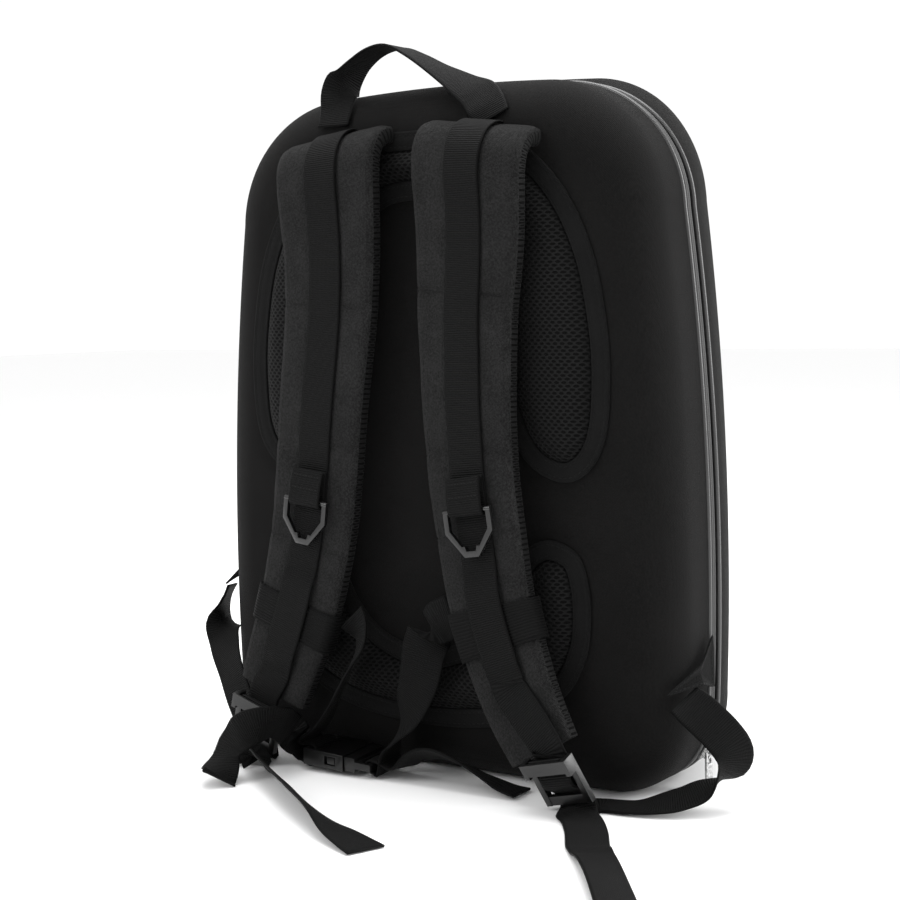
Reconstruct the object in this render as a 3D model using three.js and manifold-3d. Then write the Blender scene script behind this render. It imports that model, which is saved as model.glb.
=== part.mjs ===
import * as THREE from 'three';
import { mergeVertices } from 'three/addons/utils/BufferGeometryUtils.js';
import Module from 'manifold-3d';

// Millimetres, +Z up. The straps are on the -Y side, y = 0 is the middle of the zip, the floor is z = 0.
const wasm = await Module();
wasm.setup();

// Driving dimensions
const height = 440;
const halfWidthBottom = 172.4;
const halfWidthTop = 158.8;
const cornerBottom = 50.9;
const cornerTop = 83.3;
const topArch = 2.3;
const sideBulge = 6.4;
const backDepth = 60;
const backFillet = 30;
const backDraft = 0.06;
const frontDepth = 104;
const shellWall = 3.5;
const zipHalf = 4.6;
const pipingWidth = 3.2;
const gap = 0.35;
const floorGap = 0.3;
const padEdge = 12;
const padLift = 9;
const padEdgeThick = 2;
const strapWidth = 80;
const strapThick = 13;
const webWidth = 25;
const webThick = 1.4;
const bandLength = 28;
const chestWidth = 24;
const loopLength = 20;
const lockWidth = 36;
const lockLength = 30;
const lockThick = 4;
const ringWidth = 34;
const ringDrop = 28;
const ringThick = 3.4;
const buckleLength = 53;
const buckleWidth = 33;
const buckleThick = 10.5;
const sliderLength = 12;
const pullLength = 20;
const earThick = 1.2;

const pipingInner = zipHalf + gap;
const shellEdge = pipingInner + pipingWidth + gap;
const panelY = -backDepth;
const draftFrom = backDepth * 0.4583;

// Colour, roughness and metalness of each slot
const looks = {
  shell_fabric: [0x232224, 0.85, 0],
  strap_fabric: [0x262626, 0.9, 0],
  mesh: [0x1c1c1c, 0.95, 0],
  webbing: [0x1a1a1a, 0.75, 0],
  zip_tape: [0x6a6a6c, 0.6, 0],
  plastic: [0x2b2b2d, 0.4, 0],
  metal: [0xb8b8ba, 0.3, 1],
};
const materials = Object.fromEntries(Object.entries(looks).map(([name, [color, roughness, metalness]]) => [
  name, new THREE.MeshStandardMaterial({ name, color, roughness, metalness }),
]));
const group = new THREE.Group();

// Adds one closed body as a named mesh, turned so that its faces look outwards
function addNode(name, slot, points, triangles) {
  let volume = 0;
  for (const [a, b, c] of triangles) {
    volume += new THREE.Vector3().crossVectors(points[b], points[c]).dot(points[a]);
  }
  const index = triangles.flatMap(([a, b, c]) => (volume < 0 ? [a, c, b] : [a, b, c]));
  const geometry = new THREE.BufferGeometry();
  geometry.setAttribute('position', new THREE.Float32BufferAttribute(points.flatMap((p) => [p.x, p.y, p.z]), 3));
  geometry.setIndex(index);
  const mesh = new THREE.Mesh(geometry, materials[slot]);
  mesh.name = name;
  group.add(mesh);
}

function vec(x, y, z) {
  return new THREE.Vector3(x, y, z);
}

// Half width of the shell at a height
function halfWidthAt(z) {
  return halfWidthBottom + (halfWidthTop - halfWidthBottom) * z / height;
}

// Tables give a place as shares: x of the half width there, y of the back depth and z of the height
function spot(x, y, z) {
  return vec(x * halfWidthAt(z * height), y * backDepth, z * height);
}

function placed(rows) {
  return rows.map(([x, y, z, ...rest]) => [...spot(x, y, z).toArray(), ...rest]);
}

function smooth(low, high, value) {
  const t = Math.min(1, Math.max(0, (value - low) / (high - low)));
  return t * t * (3 - 2 * t);
}

// Reads a two-column table of ascending x with straight lines between its rows
function lookup(table, x) {
  const last = table.length - 1;
  if (x <= table[0][0]) return table[0][1];
  if (x >= table[last][0]) return table[last][1];
  const i = table.findIndex((row) => row[0] > x);
  const [x0, y0] = table[i - 1];
  const [x1, y1] = table[i];
  return y0 + (y1 - y0) * (x - x0) / (x1 - x0);
}

// Catmull-Rom through rows of numbers, with a number of steps from each row to the next
function through(rows, steps, closed = false) {
  const count = rows.length;
  const at = (i) => (closed ? rows[(i + count) % count] : rows[Math.min(count - 1, Math.max(0, i))]);
  const out = [];
  for (let i = 0; i < (closed ? count : count - 1); i++) {
    for (let s = 0; s < steps; s++) {
      const t = s / steps;
      out.push(at(i).map((b, k) => {
        const a = at(i - 1)[k];
        const c = at(i + 1)[k];
        const d = at(i + 2)[k];
        return 0.5 * (2 * b + (c - a) * t + (2 * a - 5 * b + 4 * c - d) * t * t + (3 * b - a - 3 * c + d) * t ** 3);
      }));
    }
  }
  if (!closed) out.push([...rows[count - 1]]);
  return out;
}

// Closed surface through rings of equal length; the ends are capped, or joined to each other when looped
function skin(rings, looped = false) {
  const count = rings[0].length;
  const triangles = [];
  const last = looped ? rings.length : rings.length - 1;
  for (let r = 0; r < last; r++) {
    for (let i = 0; i < count; i++) {
      const a = r * count + i;
      const b = r * count + (i + 1) % count;
      const c = ((r + 1) % rings.length) * count + i;
      const d = ((r + 1) % rings.length) * count + (i + 1) % count;
      triangles.push([a, b, d], [a, d, c]);
    }
  }
  return { points: rings.flat(), triangles };
}

// Cap over one ring of a skin, from the ring's flat picture
function cap(flat, start, turned) {
  const faces = THREE.ShapeUtils.triangulateShape(flat, []);
  return faces.map(([a, b, c]) => (turned ? [start + a, start + c, start + b] : [start + a, start + b, start + c]));
}

// Skin closed at both ends, from the flat pictures of its first and last ring
function cappedSkin(rings, flats) {
  const body = skin(rings);
  const first = cap(flats[0], 0, true);
  const end = cap(flats[1], (rings.length - 1) * rings[0].length, false);
  body.triangles.push(...first, ...end);
  return body;
}

// Shell outline in the plane of the zip: half of it from the bottom centre up to the top centre, then mirrored
function outlineHalf() {
  const lean = Math.atan2(halfWidthBottom - halfWidthTop, height - cornerBottom - cornerTop);
  const rise = Math.atan2(2 * topArch, halfWidthTop - cornerTop);
  const points = [[0, 0], [(halfWidthBottom - cornerBottom) / 2, 0]];
  for (let i = 0; i <= 8; i++) {
    const angle = -Math.PI / 2 + (lean + Math.PI / 2) * i / 8;
    points.push([
      halfWidthBottom - cornerBottom + cornerBottom * Math.cos(angle),
      cornerBottom + cornerBottom * Math.sin(angle),
    ]);
  }
  const [x0, z0] = points[points.length - 1];
  const top = [halfWidthTop - cornerTop, height - topArch - cornerTop];
  const x1 = top[0] + cornerTop * Math.cos(lean);
  const z1 = top[1] + cornerTop * Math.sin(lean);
  const length = Math.hypot(x1 - x0, z1 - z0);
  for (let i = 1; i < 6; i++) {
    const t = i / 6;
    const bow = sideBulge * 4 * t * (1 - t);
    points.push([x0 + (x1 - x0) * t + bow * (z1 - z0) / length, z0 + (z1 - z0) * t - bow * (x1 - x0) / length]);
  }
  for (let i = 0; i <= 10; i++) {
    const angle = lean + (Math.PI / 2 - rise - lean) * i / 10;
    points.push([top[0] + cornerTop * Math.cos(angle), top[1] + cornerTop * Math.sin(angle)]);
  }
  const [x2, z2] = points[points.length - 1];
  for (const t of [0.35, 0.7, 1]) points.push([x2 * (1 - t), height - (height - z2) * (1 - t) ** 2]);
  return points;
}

// Closed outline with the outward normal of every point
function closedOutline() {
  const half = outlineHalf();
  const points = [...half, ...half.slice(1, -1).reverse().map(([x, z]) => [-x, z])];
  return points.map(([x, z], i) => {
    const before = points[(i + points.length - 1) % points.length];
    const after = points[(i + 1) % points.length];
    const dx = after[0] - before[0];
    const dz = after[1] - before[1];
    const length = Math.hypot(dx, dz);
    return { x, z, nx: dz / length, nz: -dx / length };
  });
}
const outline = closedOutline();

function insetPoint(point, inset) {
  return [point.x - point.nx * inset, point.z - point.nz * inset];
}

// How far the back shell has drawn in at a depth behind the zip plane
function backInset(depth) {
  const along = Math.max(0, depth - (backDepth - backFillet)) / backFillet;
  return Math.max(0, depth - draftFrom) * backDraft + backFillet * (1 - Math.sqrt(Math.max(0, 1 - along ** 2)));
}

// The front shell is a dome. Rows: depth past the zip as a share of frontDepth, then the draw-in of its sides
// as a share of halfWidthBottom, and of its top and bottom as shares of the height
const domeRows = [
  [0, 0, 0, 0],
  [0.0962, 0.007, -0.008, 0],
  [0.2404, 0.0348, -0.0159, 0],
  [0.4327, 0.087, -0.0136, 0],
  [0.625, 0.1508, 0.0091, 0.0034],
  [0.8077, 0.2378, 0.0477, 0.0182],
  [0.9327, 0.3364, 0.0955, 0.0432],
  [1, 0.464, 0.1591, 0.0955],
];

// Its rings are the outline drawn in towards the middle, so the corners keep their roundness
function frontPoint(point, depth, wall) {
  const drawIn = (column, size) => {
    const table = domeRows.map((row) => [row[0] * frontDepth, row[column] * size]);
    return lookup(table, depth) + wall;
  };
  const side = drawIn(1, halfWidthBottom);
  const top = drawIn(2, height);
  const bottom = drawIn(3, height);
  return [point.x * (1 - side / halfWidthBottom), bottom + point.z * (height - top - bottom) / height];
}

function backPoint(point, depth, wall) {
  return insetPoint(point, backInset(depth) + wall);
}

// Open tray: outer skin from the outer face to the rim, inner skin back to the outer face
function addShell(name, depths, innerDepths, pointAt, sign, base) {
  const ringAtDepth = (depth, wall) => outline.map((p) => {
    const [x, z] = pointAt(p, depth, wall);
    return vec(x, sign * (base + depth), z);
  });
  const outer = depths.map((depth) => ringAtDepth(depth, 0));
  const inner = innerDepths.map((depth) => ringAtDepth(depth, shellWall));
  const rings = [...outer.reverse(), ...inner];
  const flats = [rings[0], rings[rings.length - 1]].map((ring) => ring.map((p) => new THREE.Vector2(p.x, p.z)));
  const { points, triangles } = cappedSkin(rings, flats);
  addNode(name, 'shell_fabric', points, triangles);
}

const backRings = [0, 15, 30, 45, 60, 75, 90].map((a) => {
  return backDepth - backFillet + backFillet * Math.sin(a * Math.PI / 180);
});
addShell(
  'back_shell',
  [shellEdge, ...backRings],
  [shellEdge, ...backRings.filter((d, i) => i % 2 === 0).map((d) => Math.min(d, backDepth - shellWall))],
  backPoint, -1, 0,
);
addShell(
  'front_shell',
  domeRows.map((row) => row[0] * frontDepth),
  [0, domeRows[3][0] * frontDepth, domeRows[5][0] * frontDepth, frontDepth - shellWall],
  frontPoint, 1, shellEdge,
);

// Ring all around the zip, with a section given as [y, height over the outline] rows. It ends flush with the
// outline under the pack, and what lies deeper than rimDepth keeps its depth
const rimDepth = zipHalf * 0.22;
function addRim(name, slot, section) {
  const rings = outline.map((p) => {
    const lift = 1 - smooth(0.5, 0.95, -p.nz);
    return section.map(([y, rise]) => {
      const [x, z] = insetPoint(p, rise < -rimDepth ? -rise : -rise * lift);
      return vec(x, y, z);
    });
  });
  const { points, triangles } = skin(rings, true);
  addNode(name, slot, points, triangles);
}
addRim('zip_band', 'zip_tape', [
  [-1, -0.11], [-0.3, -0.11], [0, 0.13], [0.3, -0.11], [1, -0.11], [1, -0.565], [-1, -0.565],
].map((row) => row.map((share) => share * zipHalf)));
for (const [name, side] of [['back_piping', -1], ['front_piping', 1]]) {
  addRim(name, 'zip_tape', [[0.125, 0.28], [0.875, 0.28], [1, -0.94], [0, -0.94]].map(([across, rise]) => [
    side * (pipingInner + across * pipingWidth), rise * pipingWidth,
  ]));
}

// Back pads: right half of each contour as [x, z], shares of the half width there and of the height
const upperPadHalf = [
  [0, 0.9318], [0.2504, 0.9295], [0.4375, 0.9114], [0.5794, 0.875], [0.6946, 0.8205], [0.7768, 0.75],
  [0.8176, 0.6705], [0.8302, 0.5955], [0.8101, 0.5136],
  [0.7527, 0.4659], [0.655, 0.4409], [0.5412, 0.4477], [0.446, 0.4773], [0.3754, 0.5341],
  [0.3353, 0.6136], [0.3071, 0.7045], [0.2597, 0.7841], [0.1551, 0.825], [0, 0.8341],
];
const lowerPadHalf = [
  [0, 0.1864], [0.0883, 0.192], [0.2065, 0.2114], [0.3077, 0.25], [0.3802, 0.3], [0.453, 0.3409],
  [0.5312, 0.358], [0.6087, 0.3557], [0.6794, 0.3386],
  [0.7131, 0.3023], [0.7191, 0.2523], [0.6954, 0.2], [0.6103, 0.1455], [0.4386, 0.1023],
  [0.2335, 0.0818], [0, 0.0761],
];

function padContour(half) {
  const right = half.map(([x, z]) => [x * halfWidthAt(z * height), z * height]);
  const rows = [...right, ...right.slice(1, -1).reverse().map(([x, z]) => [-x, z])];
  const points = through(rows, 2, true);
  if (THREE.ShapeUtils.area(points.map(([x, z]) => new THREE.Vector2(x, z))) < 0) points.reverse();
  return points.map(([x, z], i) => {
    const before = points[(i + points.length - 1) % points.length];
    const after = points[(i + 1) % points.length];
    const dx = after[0] - before[0];
    const dz = after[1] - before[1];
    const length = Math.hypot(dx, dz);
    return { x, z, nx: dz / length, nz: -dx / length };
  });
}

function addPad(name, half) {
  const contour = padContour(half);
  const ring = (inset, lift) => contour.map((p) => {
    const [x, z] = insetPoint(p, inset);
    return vec(x, panelY - gap - lift, z);
  });
  const border = skin([
    ring(0, 0), ring(padEdgeThick / 4, padEdgeThick), ring(padEdge, padEdgeThick), ring(padEdge, 0),
  ], true);
  addNode(`${name}_border`, 'strap_fabric', border.points, border.triangles);
  const rings = [
    ring(padEdge + gap, 0), ring(padEdge + gap, padLift * 0.29), ring(padEdge + padLift * 0.18, padLift * 0.7),
    ring(padEdge + padLift * 0.56, padLift),
  ];
  const flats = [rings[0], rings[rings.length - 1]].map((r) => r.map((p) => new THREE.Vector2(p.x, p.z)));
  const body = cappedSkin(rings, flats);
  addNode(`${name}_mesh`, 'mesh', body.points, body.triangles);
}
addPad('upper_pad', upperPadHalf);
addPad('lower_pad', lowerPadHalf);

// Sweeps rows [x, y, z, ux, uy, uz, width]: u runs across the band, the face is along (travel x u)
function frames(rows, steps) {
  const dense = through(rows, steps);
  return dense.map((row, i) => {
    const before = dense[Math.max(0, i - 1)];
    const after = dense[Math.min(dense.length - 1, i + 1)];
    const travel = vec(after[0] - before[0], after[1] - before[1], after[2] - before[2]).normalize();
    const across = vec(row[3], row[4], row[5]);
    across.addScaledVector(travel, -across.dot(travel)).normalize();
    const face = vec(0, 0, 0).crossVectors(travel, across).normalize();
    return { centre: vec(row[0], row[1], row[2]), travel, across, face, width: row[6] };
  });
}

function sectionRing(frame, width, thick, corner, lift = 0) {
  const w = width / 2;
  const t = thick / 2;
  const flat = corner
    ? [0, 1, 2, 3].flatMap((q) => [18, 72].map((a) => {
      const angle = (q * 90 + a) * Math.PI / 180;
      const cx = (q === 0 || q === 3 ? 1 : -1) * (w - corner);
      const cy = (q < 2 ? 1 : -1) * (t - corner);
      return [cx + corner * Math.cos(angle) / 0.951, cy + corner * Math.sin(angle) / 0.951];
    }))
    : [[w, t], [-w, t], [-w, -t], [w, -t]];
  return flat.map(([a, b]) => frame.centre.clone()
    .addScaledVector(frame.across, a)
    .addScaledVector(frame.face, b + lift));
}

function endCaps(count, total) {
  const triangles = [];
  for (let i = 1; i < count - 1; i++) {
    triangles.push([0, i + 1, i]);
    triangles.push([(total - 1) * count, (total - 1) * count + i, (total - 1) * count + i + 1]);
  }
  return triangles;
}

// Solid band along a path of frames; a ring that would reach into the floor is lifted onto it
function addBand(name, slot, path, thick = webThick, corner = 0) {
  const rings = path.map((frame) => sectionRing(frame, frame.width, thick, corner));
  for (const ring of rings) {
    const low = Math.min(...ring.map((p) => p.z));
    for (const p of ring) p.z += Math.max(0, floorGap - low);
  }
  const body = skin(rings);
  body.triangles.push(...endCaps(rings[0].length, rings.length));
  addNode(name, slot, body.points, body.triangles);
}

function webRows(rows, width = webWidth) {
  return rows.map((row) => [...row.slice(0, 6), (row[6] ?? 1) * width]);
}

// Grab handle, from its left foot over the top to its right foot. Rows: x as a share of halfWidthTop, y of the
// back depth, the drop from the top as a share of the back fillet that it is sewn to, and the direction across
addBand('grab_handle', 'webbing', frames(webRows([
  [-0.403, -1.0167, 0.7667, 1, 0, 0],
  [-0.403, -0.9733, 0.5667, 1, 0, 0],
  [-0.4093, -0.9083, 0.3167, 1, 0.1, 0],
  [-0.4156, -0.8333, 0, 0.85, 0.5, 0],
  [-0.3967, -0.7667, -0.2667, 0.4, 0.9, 0],
  [-0.3401, -0.75, -0.5667, 0.1, 1, 0],
  [-0.2519, -0.75, -0.81, 0, 1, 0],
  [-0.1574, -0.75, -0.8533, 0, 1, 0],
  [-0.063, -0.75, -0.64, 0.05, 1, 0.05],
  [0.0441, -0.7583, -0.3167, 0.2, 0.95, 0.1],
  [0.1637, -0.8, 0.0333, 0.4, 0.85, 0.3],
  [0.2645, -0.8917, 0.3167, 0.6, 0.6, 0.5],
  [0.3338, -0.9967, 0.6167, 0.75, 0.4, 0.55],
].map(([x, y, drop, ...across]) => [
  x * halfWidthTop, y * backDepth, height - drop * backFillet, ...across,
])), 2));

// Shoulder strap centre lines, from the panel over the fold down to the padded end. Rows: place, direction across
// and width as a share of strapWidth
const strapRows = {
  right: [
    [0.3345, -1.06, 0.9166, 1, 0, -0.12, 1],
    [0.3345, -1.1417, 0.9166, 1, 0, -0.12, 1],
    [0.333, -1.2583, 0.9091, 1, 0, -0.12, 0.9938],
    [0.3319, -1.345, 0.8898, 1, 0, -0.12, 0.9875],
    [0.3298, -1.3717, 0.8614, 1, 0, -0.08, 0.975],
    [0.3288, -1.3583, 0.8227, 1, 0, -0.02, 0.9563],
    [0.3208, -1.3333, 0.7591, 1, 0, 0, 0.925],
    [0.304, -1.3267, 0.6795, 1, 0, 0, 0.875],
    [0.3049, -1.3433, 0.6182, 1, 0, 0, 0.8438],
    [0.3069, -1.3583, 0.5545, 1, 0, 0, 0.8187],
    [0.314, -1.3667, 0.5, 1, 0, 0.06, 0.8],
    [0.3257, -1.3767, 0.4409, 1, 0, 0.1, 0.7875],
    [0.3535, -1.3833, 0.3636, 1, 0, 0.16, 0.775],
    [0.3914, -1.3933, 0.2773, 1, 0, 0.25, 0.75],
    [0.4454, -1.4083, 0.2114, 1, 0, 0.36, 0.7188],
    [0.5191, -1.4267, 0.1409, 1, 0, 0.45, 0.675],
    [0.6071, -1.4433, 0.0795, 1, 0, 0.55, 0.6125],
  ],
  left: [
    [-0.3345, -1.06, 0.9166, 1, 0, 0.12, 1],
    [-0.3345, -1.1417, 0.9166, 1, 0, 0.12, 1],
    [-0.333, -1.2583, 0.9091, 1, 0, 0.12, 0.9938],
    [-0.3319, -1.345, 0.8898, 1, 0, 0.12, 0.9875],
    [-0.3298, -1.3717, 0.8614, 1, 0, 0.08, 0.975],
    [-0.3275, -1.3583, 0.8227, 1, 0, 0.02, 0.9563],
    [-0.3258, -1.3333, 0.7591, 1, 0, 0, 0.9125],
    [-0.334, -1.3267, 0.6795, 1, 0, -0.04, 0.8812],
    [-0.3476, -1.3433, 0.6182, 1, 0, -0.08, 0.8625],
    [-0.3652, -1.3583, 0.5545, 1, 0, -0.1, 0.85],
    [-0.378, -1.3667, 0.5, 1, 0, -0.1, 0.8438],
    [-0.3906, -1.3767, 0.4409, 1, 0, -0.12, 0.8375],
    [-0.4144, -1.3833, 0.3636, 1, 0, -0.18, 0.825],
    [-0.4626, -1.3933, 0.2773, 1, 0, -0.27, 0.8],
    [-0.5161, -1.4083, 0.2091, 1, 0, -0.34, 0.7688],
    [-0.5694, -1.4267, 0.15, 1, 0, -0.34, 0.725],
    [-0.6027, -1.4433, 0.1114, 1, 0, -0.32, 0.6875],
  ],
};

// Local frame of a hard piece: origin, across (u), down (v) and out of the face (n)
function holder(origin, across, down) {
  const v = down.clone().normalize();
  const u = across.clone().addScaledVector(v, -across.dot(v)).normalize();
  return { origin, u, v, n: vec(0, 0, 0).crossVectors(v, u) };
}

function place(frame, u, v, n) {
  return frame.origin.clone().addScaledVector(frame.u, u).addScaledVector(frame.v, v).addScaledVector(frame.n, n);
}

function localRow(frame, v, n, u = 0) {
  const p = place(frame, u, v, n);
  return [p.x, p.y, p.z, frame.u.x, frame.u.y, frame.u.z];
}

// A closed geometry as a solid that can be joined and cut
function solidOf(geometry) {
  geometry.deleteAttribute('normal');
  geometry.deleteAttribute('uv');
  const merged = mergeVertices(geometry);
  return new wasm.Manifold(new wasm.Mesh({
    numProp: 3,
    vertProperties: Float32Array.from(merged.attributes.position.array),
    triVerts: Uint32Array.from(merged.index.array),
  }));
}

// Solids for the hard pieces, in the local frame of a holder
function block(u0, u1, v0, v1, n0, n1) {
  const box = new THREE.BoxGeometry(u1 - u0, v1 - v0, n1 - n0);
  return solidOf(box.translate((u0 + u1) / 2, (v0 + v1) / 2, (n0 + n1) / 2));
}

// The same with its ends as shares of three sizes
function shareBlock([su, sv, sn], u0, u1, v0, v1, n0, n1) {
  return block(u0 * su, u1 * su, v0 * sv, v1 * sv, n0 * sn, n1 * sn);
}

function rodAlongU(length, radius, sides) {
  return solidOf(new THREE.CylinderGeometry(radius, radius, length, sides).rotateZ(Math.PI / 2));
}

function rodAlongN(length, radius, sides) {
  return solidOf(new THREE.CylinderGeometry(radius, radius, length, sides).rotateX(Math.PI / 2));
}

function addSolid(name, slot, solid, frame) {
  const mesh = solid.getMesh();
  const points = [];
  for (let i = 0; i < mesh.vertProperties.length; i += mesh.numProp) {
    points.push(place(frame, mesh.vertProperties[i], mesh.vertProperties[i + 1], mesh.vertProperties[i + 2]));
  }
  const triangles = [];
  for (let i = 0; i < mesh.triVerts.length; i += 3) {
    triangles.push([mesh.triVerts[i], mesh.triVerts[i + 1], mesh.triVerts[i + 2]]);
  }
  addNode(name, slot, points, triangles);
}

const lockFrames = {
  right: holder(spot(0.6929, -1.5917, 0.0477), vec(0.98, -0.1, 0.08), vec(0.3, 0.35, -0.89)),
  left: holder(spot(-0.6558, -1.5917, 0.0636), vec(0.97, 0, -0.24), vec(-0.3, 0.12, -0.95)),
};
const ringAt = 0.4045 * height;
const bandAt = { right: 0.2409 * height, left: 0.2273 * height };
const barReach = ringThick / 2 + gap + webThick / 2;
const foldFrom = 0.7955 * height;
const foldTo = 0.8636 * height;

const bandReach = bandLength * 1.43;
// Way round the top bar of a ladder lock, as shares of lockLength and lockThick
const aroundBar = [
  [-0.7417, -0.9], [-0.475, -0.875], [-0.3617, -0.625], [-0.325, 0], [-0.3617, 0.625], [-0.4417, 0.85],
  [-0.575, 0.925],
];

for (const side of ['right', 'left']) {
  const rows = webRows(placed(strapRows[side]), strapWidth);
  const strap = frames(rows, 2);
  addBand(`strap_${side}`, 'strap_fabric', strap, strapThick, 5);

  // Chest band: a sleeve of webbing around the shoulder strap
  const near = (z) => frames(rows, 6).reduce((best, f) => (
    Math.abs(f.centre.z - z) < Math.abs(best.centre.z - z) ? f : best));
  const sleeve = [0.5, 0, -0.5].map((step) => near(bandAt[side] + step * bandLength));
  const outerRings = sleeve.map((f) => (
    sectionRing(f, f.width + 2 * (gap + webThick), strapThick + 2 * (gap + webThick), 6)));
  const innerRings = sleeve.map((f) => sectionRing(f, f.width + 2 * gap, strapThick + 2 * gap, 5)).reverse();
  const tube = skin([...outerRings, ...innerRings], true);
  addNode(`chest_band_${side}`, 'webbing', tube.points, tube.triangles);

  // Centre webbing: over the fold, down the strap, over the chest band, round the top bar of the ladder lock
  const faceAt = strapThick / 2 + gap + webThick / 2;
  const lock = lockFrames[side];
  const fromBand = (f) => Math.abs(f.centre.z - bandAt[side]);
  const webOn = (f) => {
    const overBand = (webThick + gap * 1.57) * smooth(bandLength * 1.21, bandLength * 0.86, fromBand(f));
    const overFold = webThick * 0.86 * smooth(foldFrom, foldTo, f.centre.z);
    const bump = overBand + overFold;
    return { ...f, centre: f.centre.clone().addScaledVector(f.face, faceAt + bump), width: webWidth };
  };
  addBand(`strap_webbing_${side}`, 'webbing', [
    ...strap.filter((f) => f.centre.z > bandAt[side] + bandReach).map(webOn),
    ...frames(rows, 6).filter((f, i) => fromBand(f) < bandReach && i % 2 === 0).map(webOn),
    ...frames(webRows(aroundBar.map(([v, n]) => localRow(lock, v * lockLength, n * lockThick))), 2),
  ]);

  // Ring and the loop that holds it
  const at = near(ringAt);
  const base = faceAt + webThick / 2 + gap + webThick / 2;
  const ringFrame = holder(
    at.centre.clone().addScaledVector(at.face, base + barReach),
    at.across,
    at.travel,
  );
  addBand(`ring_loop_${side}`, 'webbing', frames(webRows([
    localRow(ringFrame, -loopLength, -barReach),
    localRow(ringFrame, -loopLength / 2, -barReach),
    localRow(ringFrame, -loopLength * 0.03, -barReach),
    localRow(ringFrame, barReach * 0.75, -barReach * 0.72),
    localRow(ringFrame, barReach, 0),
    localRow(ringFrame, barReach * 0.75, barReach * 0.72),
    localRow(ringFrame, -loopLength * 0.03, barReach),
    localRow(ringFrame, -loopLength / 2, barReach * 0.78),
    localRow(ringFrame, -loopLength, barReach * 0.055),
  ]), 2));
  // Corners as shares of ringWidth and ringDrop
  const corners = (list) => list.map(([u, v]) => new THREE.Vector2(u * ringWidth, v * ringDrop));
  const face = new THREE.Shape(corners([
    [-0.5, 0], [0.5, 0], [0.5, 0.4643], [0.1471, 1], [-0.1471, 1], [-0.5, 0.4643],
  ]));
  face.holes.push(new THREE.Path(corners([
    [-0.4059, 0.0357], [-0.4059, 0.4143], [-0.1912, 0.7679], [-0.1294, 0.7571], [-0.1, 0.8714],
    [0.1, 0.8714], [0.1294, 0.7571], [0.1912, 0.7679], [0.4059, 0.4143], [0.4059, 0.0357],
  ])));
  const plateThick = ringThick * 0.88;
  const plate = new THREE.ExtrudeGeometry(face, { depth: plateThick, bevelEnabled: false });
  const ring = solidOf(plate.translate(0, 0, -plateThick / 2)).add(rodAlongU(ringWidth, ringThick / 2, 14));
  addSolid(`ring_${side}`, 'plastic', ring, ringFrame);

  // Ladder lock: three bars between two rails, and a raised lip over the top bar
  const part = (...ends) => shareBlock([lockWidth, lockLength, lockThick], ...ends);
  const body = part(-0.5, -0.3778, -0.5, 0.5, -0.5, 0.5)
    .add(part(0.3778, 0.5, -0.5, 0.5, -0.5, 0.5))
    .add(part(-0.5, 0.5, -0.5, -0.3833, -0.4, 0.4))
    .add(part(-0.5, 0.5, -0.1, 0.0333, -0.4, 0.4))
    .add(part(-0.5, 0.5, 0.3, 0.5, -0.4, 0.4))
    .add(part(-0.5, -0.4056, -0.5667, -0.2333, -0.5, 1.8))
    .add(part(0.4056, 0.5, -0.5667, -0.2333, -0.5, 1.8))
    .add(part(-0.5, 0.5, -0.5667, -0.3, 1.3, 1.8));
  addSolid(`ladder_lock_${side}`, 'plastic', body, lock);
}

// Lower straps: from the side ear into the lock, round its middle bar, and out as the free tail. The way through
// the lock is in shares of lockLength and lockThick
const aroundMiddle = [
  [0.5, -1.65], [0.2333, -1.35], [-0.0533, -1.25], [-0.1733, -0.9], [-0.2167, -0.225], [-0.1733, 0.475],
  [-0.0533, 0.75], [0.0633, 0.725], [0.1667, 0], [0.27, -0.725], [0.4, -0.775], [0.5667, -0.8],
];

function throughLock(lock, sign) {
  return aroundMiddle.map(([v, n]) => {
    const row = localRow(lock, v * lockLength, n * lockThick);
    return row.map((value, i) => (i < 3 ? value : value * sign));
  });
}
addBand('lower_strap_right', 'webbing', frames(webRows([
  ...placed([
    [1.0243, -0.7467, 0.15, 0.5, 0.75, 0.22],
    [1.0901, -0.725, 0.1307, 0.62, 0.6, 0.42],
    [1.1611, -0.7, 0.1057, 0.62, 0.62, 0.42],
    [1.197, -0.6833, 0.0841, 0.6, 0.72, 0.32],
    [1.1861, -0.7, 0.0614, 0.52, 0.82, 0.22],
    [1.1229, -0.7833, 0.0386, 0.3, 0.82, 0.45],
    [1.046, -0.9167, 0.0227, 0.1, 0.88, 0.4],
    [0.958, -1.025, 0.0125, 0, 0.95, 0.25],
    [0.8763, -1.0833, 0.0059, 0, 1, 0.06],
    [0.7978, -1.1, 0.0036, 0, 1, 0],
    [0.7572, -1.1333, 0.0036, -0.5, 0.87, 0],
    [0.7311, -1.2083, 0.0036, -0.87, 0.5, 0],
    [0.7207, -1.3167, 0.0055, -1, 0.05, 0],
  ]),
  ...throughLock(lockFrames.right, -1),
  ...placed([
    [0.7285, -1.475, 0.0095, -0.97, 0.1, -0.15],
    [0.7486, -1.5583, 0.005, -0.95, -0.2, -0.02],
    [0.7949, -1.6917, 0.0034, -0.92, -0.35, 0],
    [0.8645, -1.9667, 0.003, -0.92, -0.38, 0],
    [0.9341, -2.3, 0.003, -0.9, -0.42, 0],
    [0.969, -2.4333, 0.0045, -0.86, -0.5, 0],
    [1.0559, -2.7333, 0.003, -0.8, -0.55, 0.2],
    [1.1836, -3.2167, 0.003, -0.8, -0.5, 0.28],
    [1.3112, -3.7167, 0.003, -0.8, -0.52, 0.24],
  ]),
]), 2));
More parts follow.
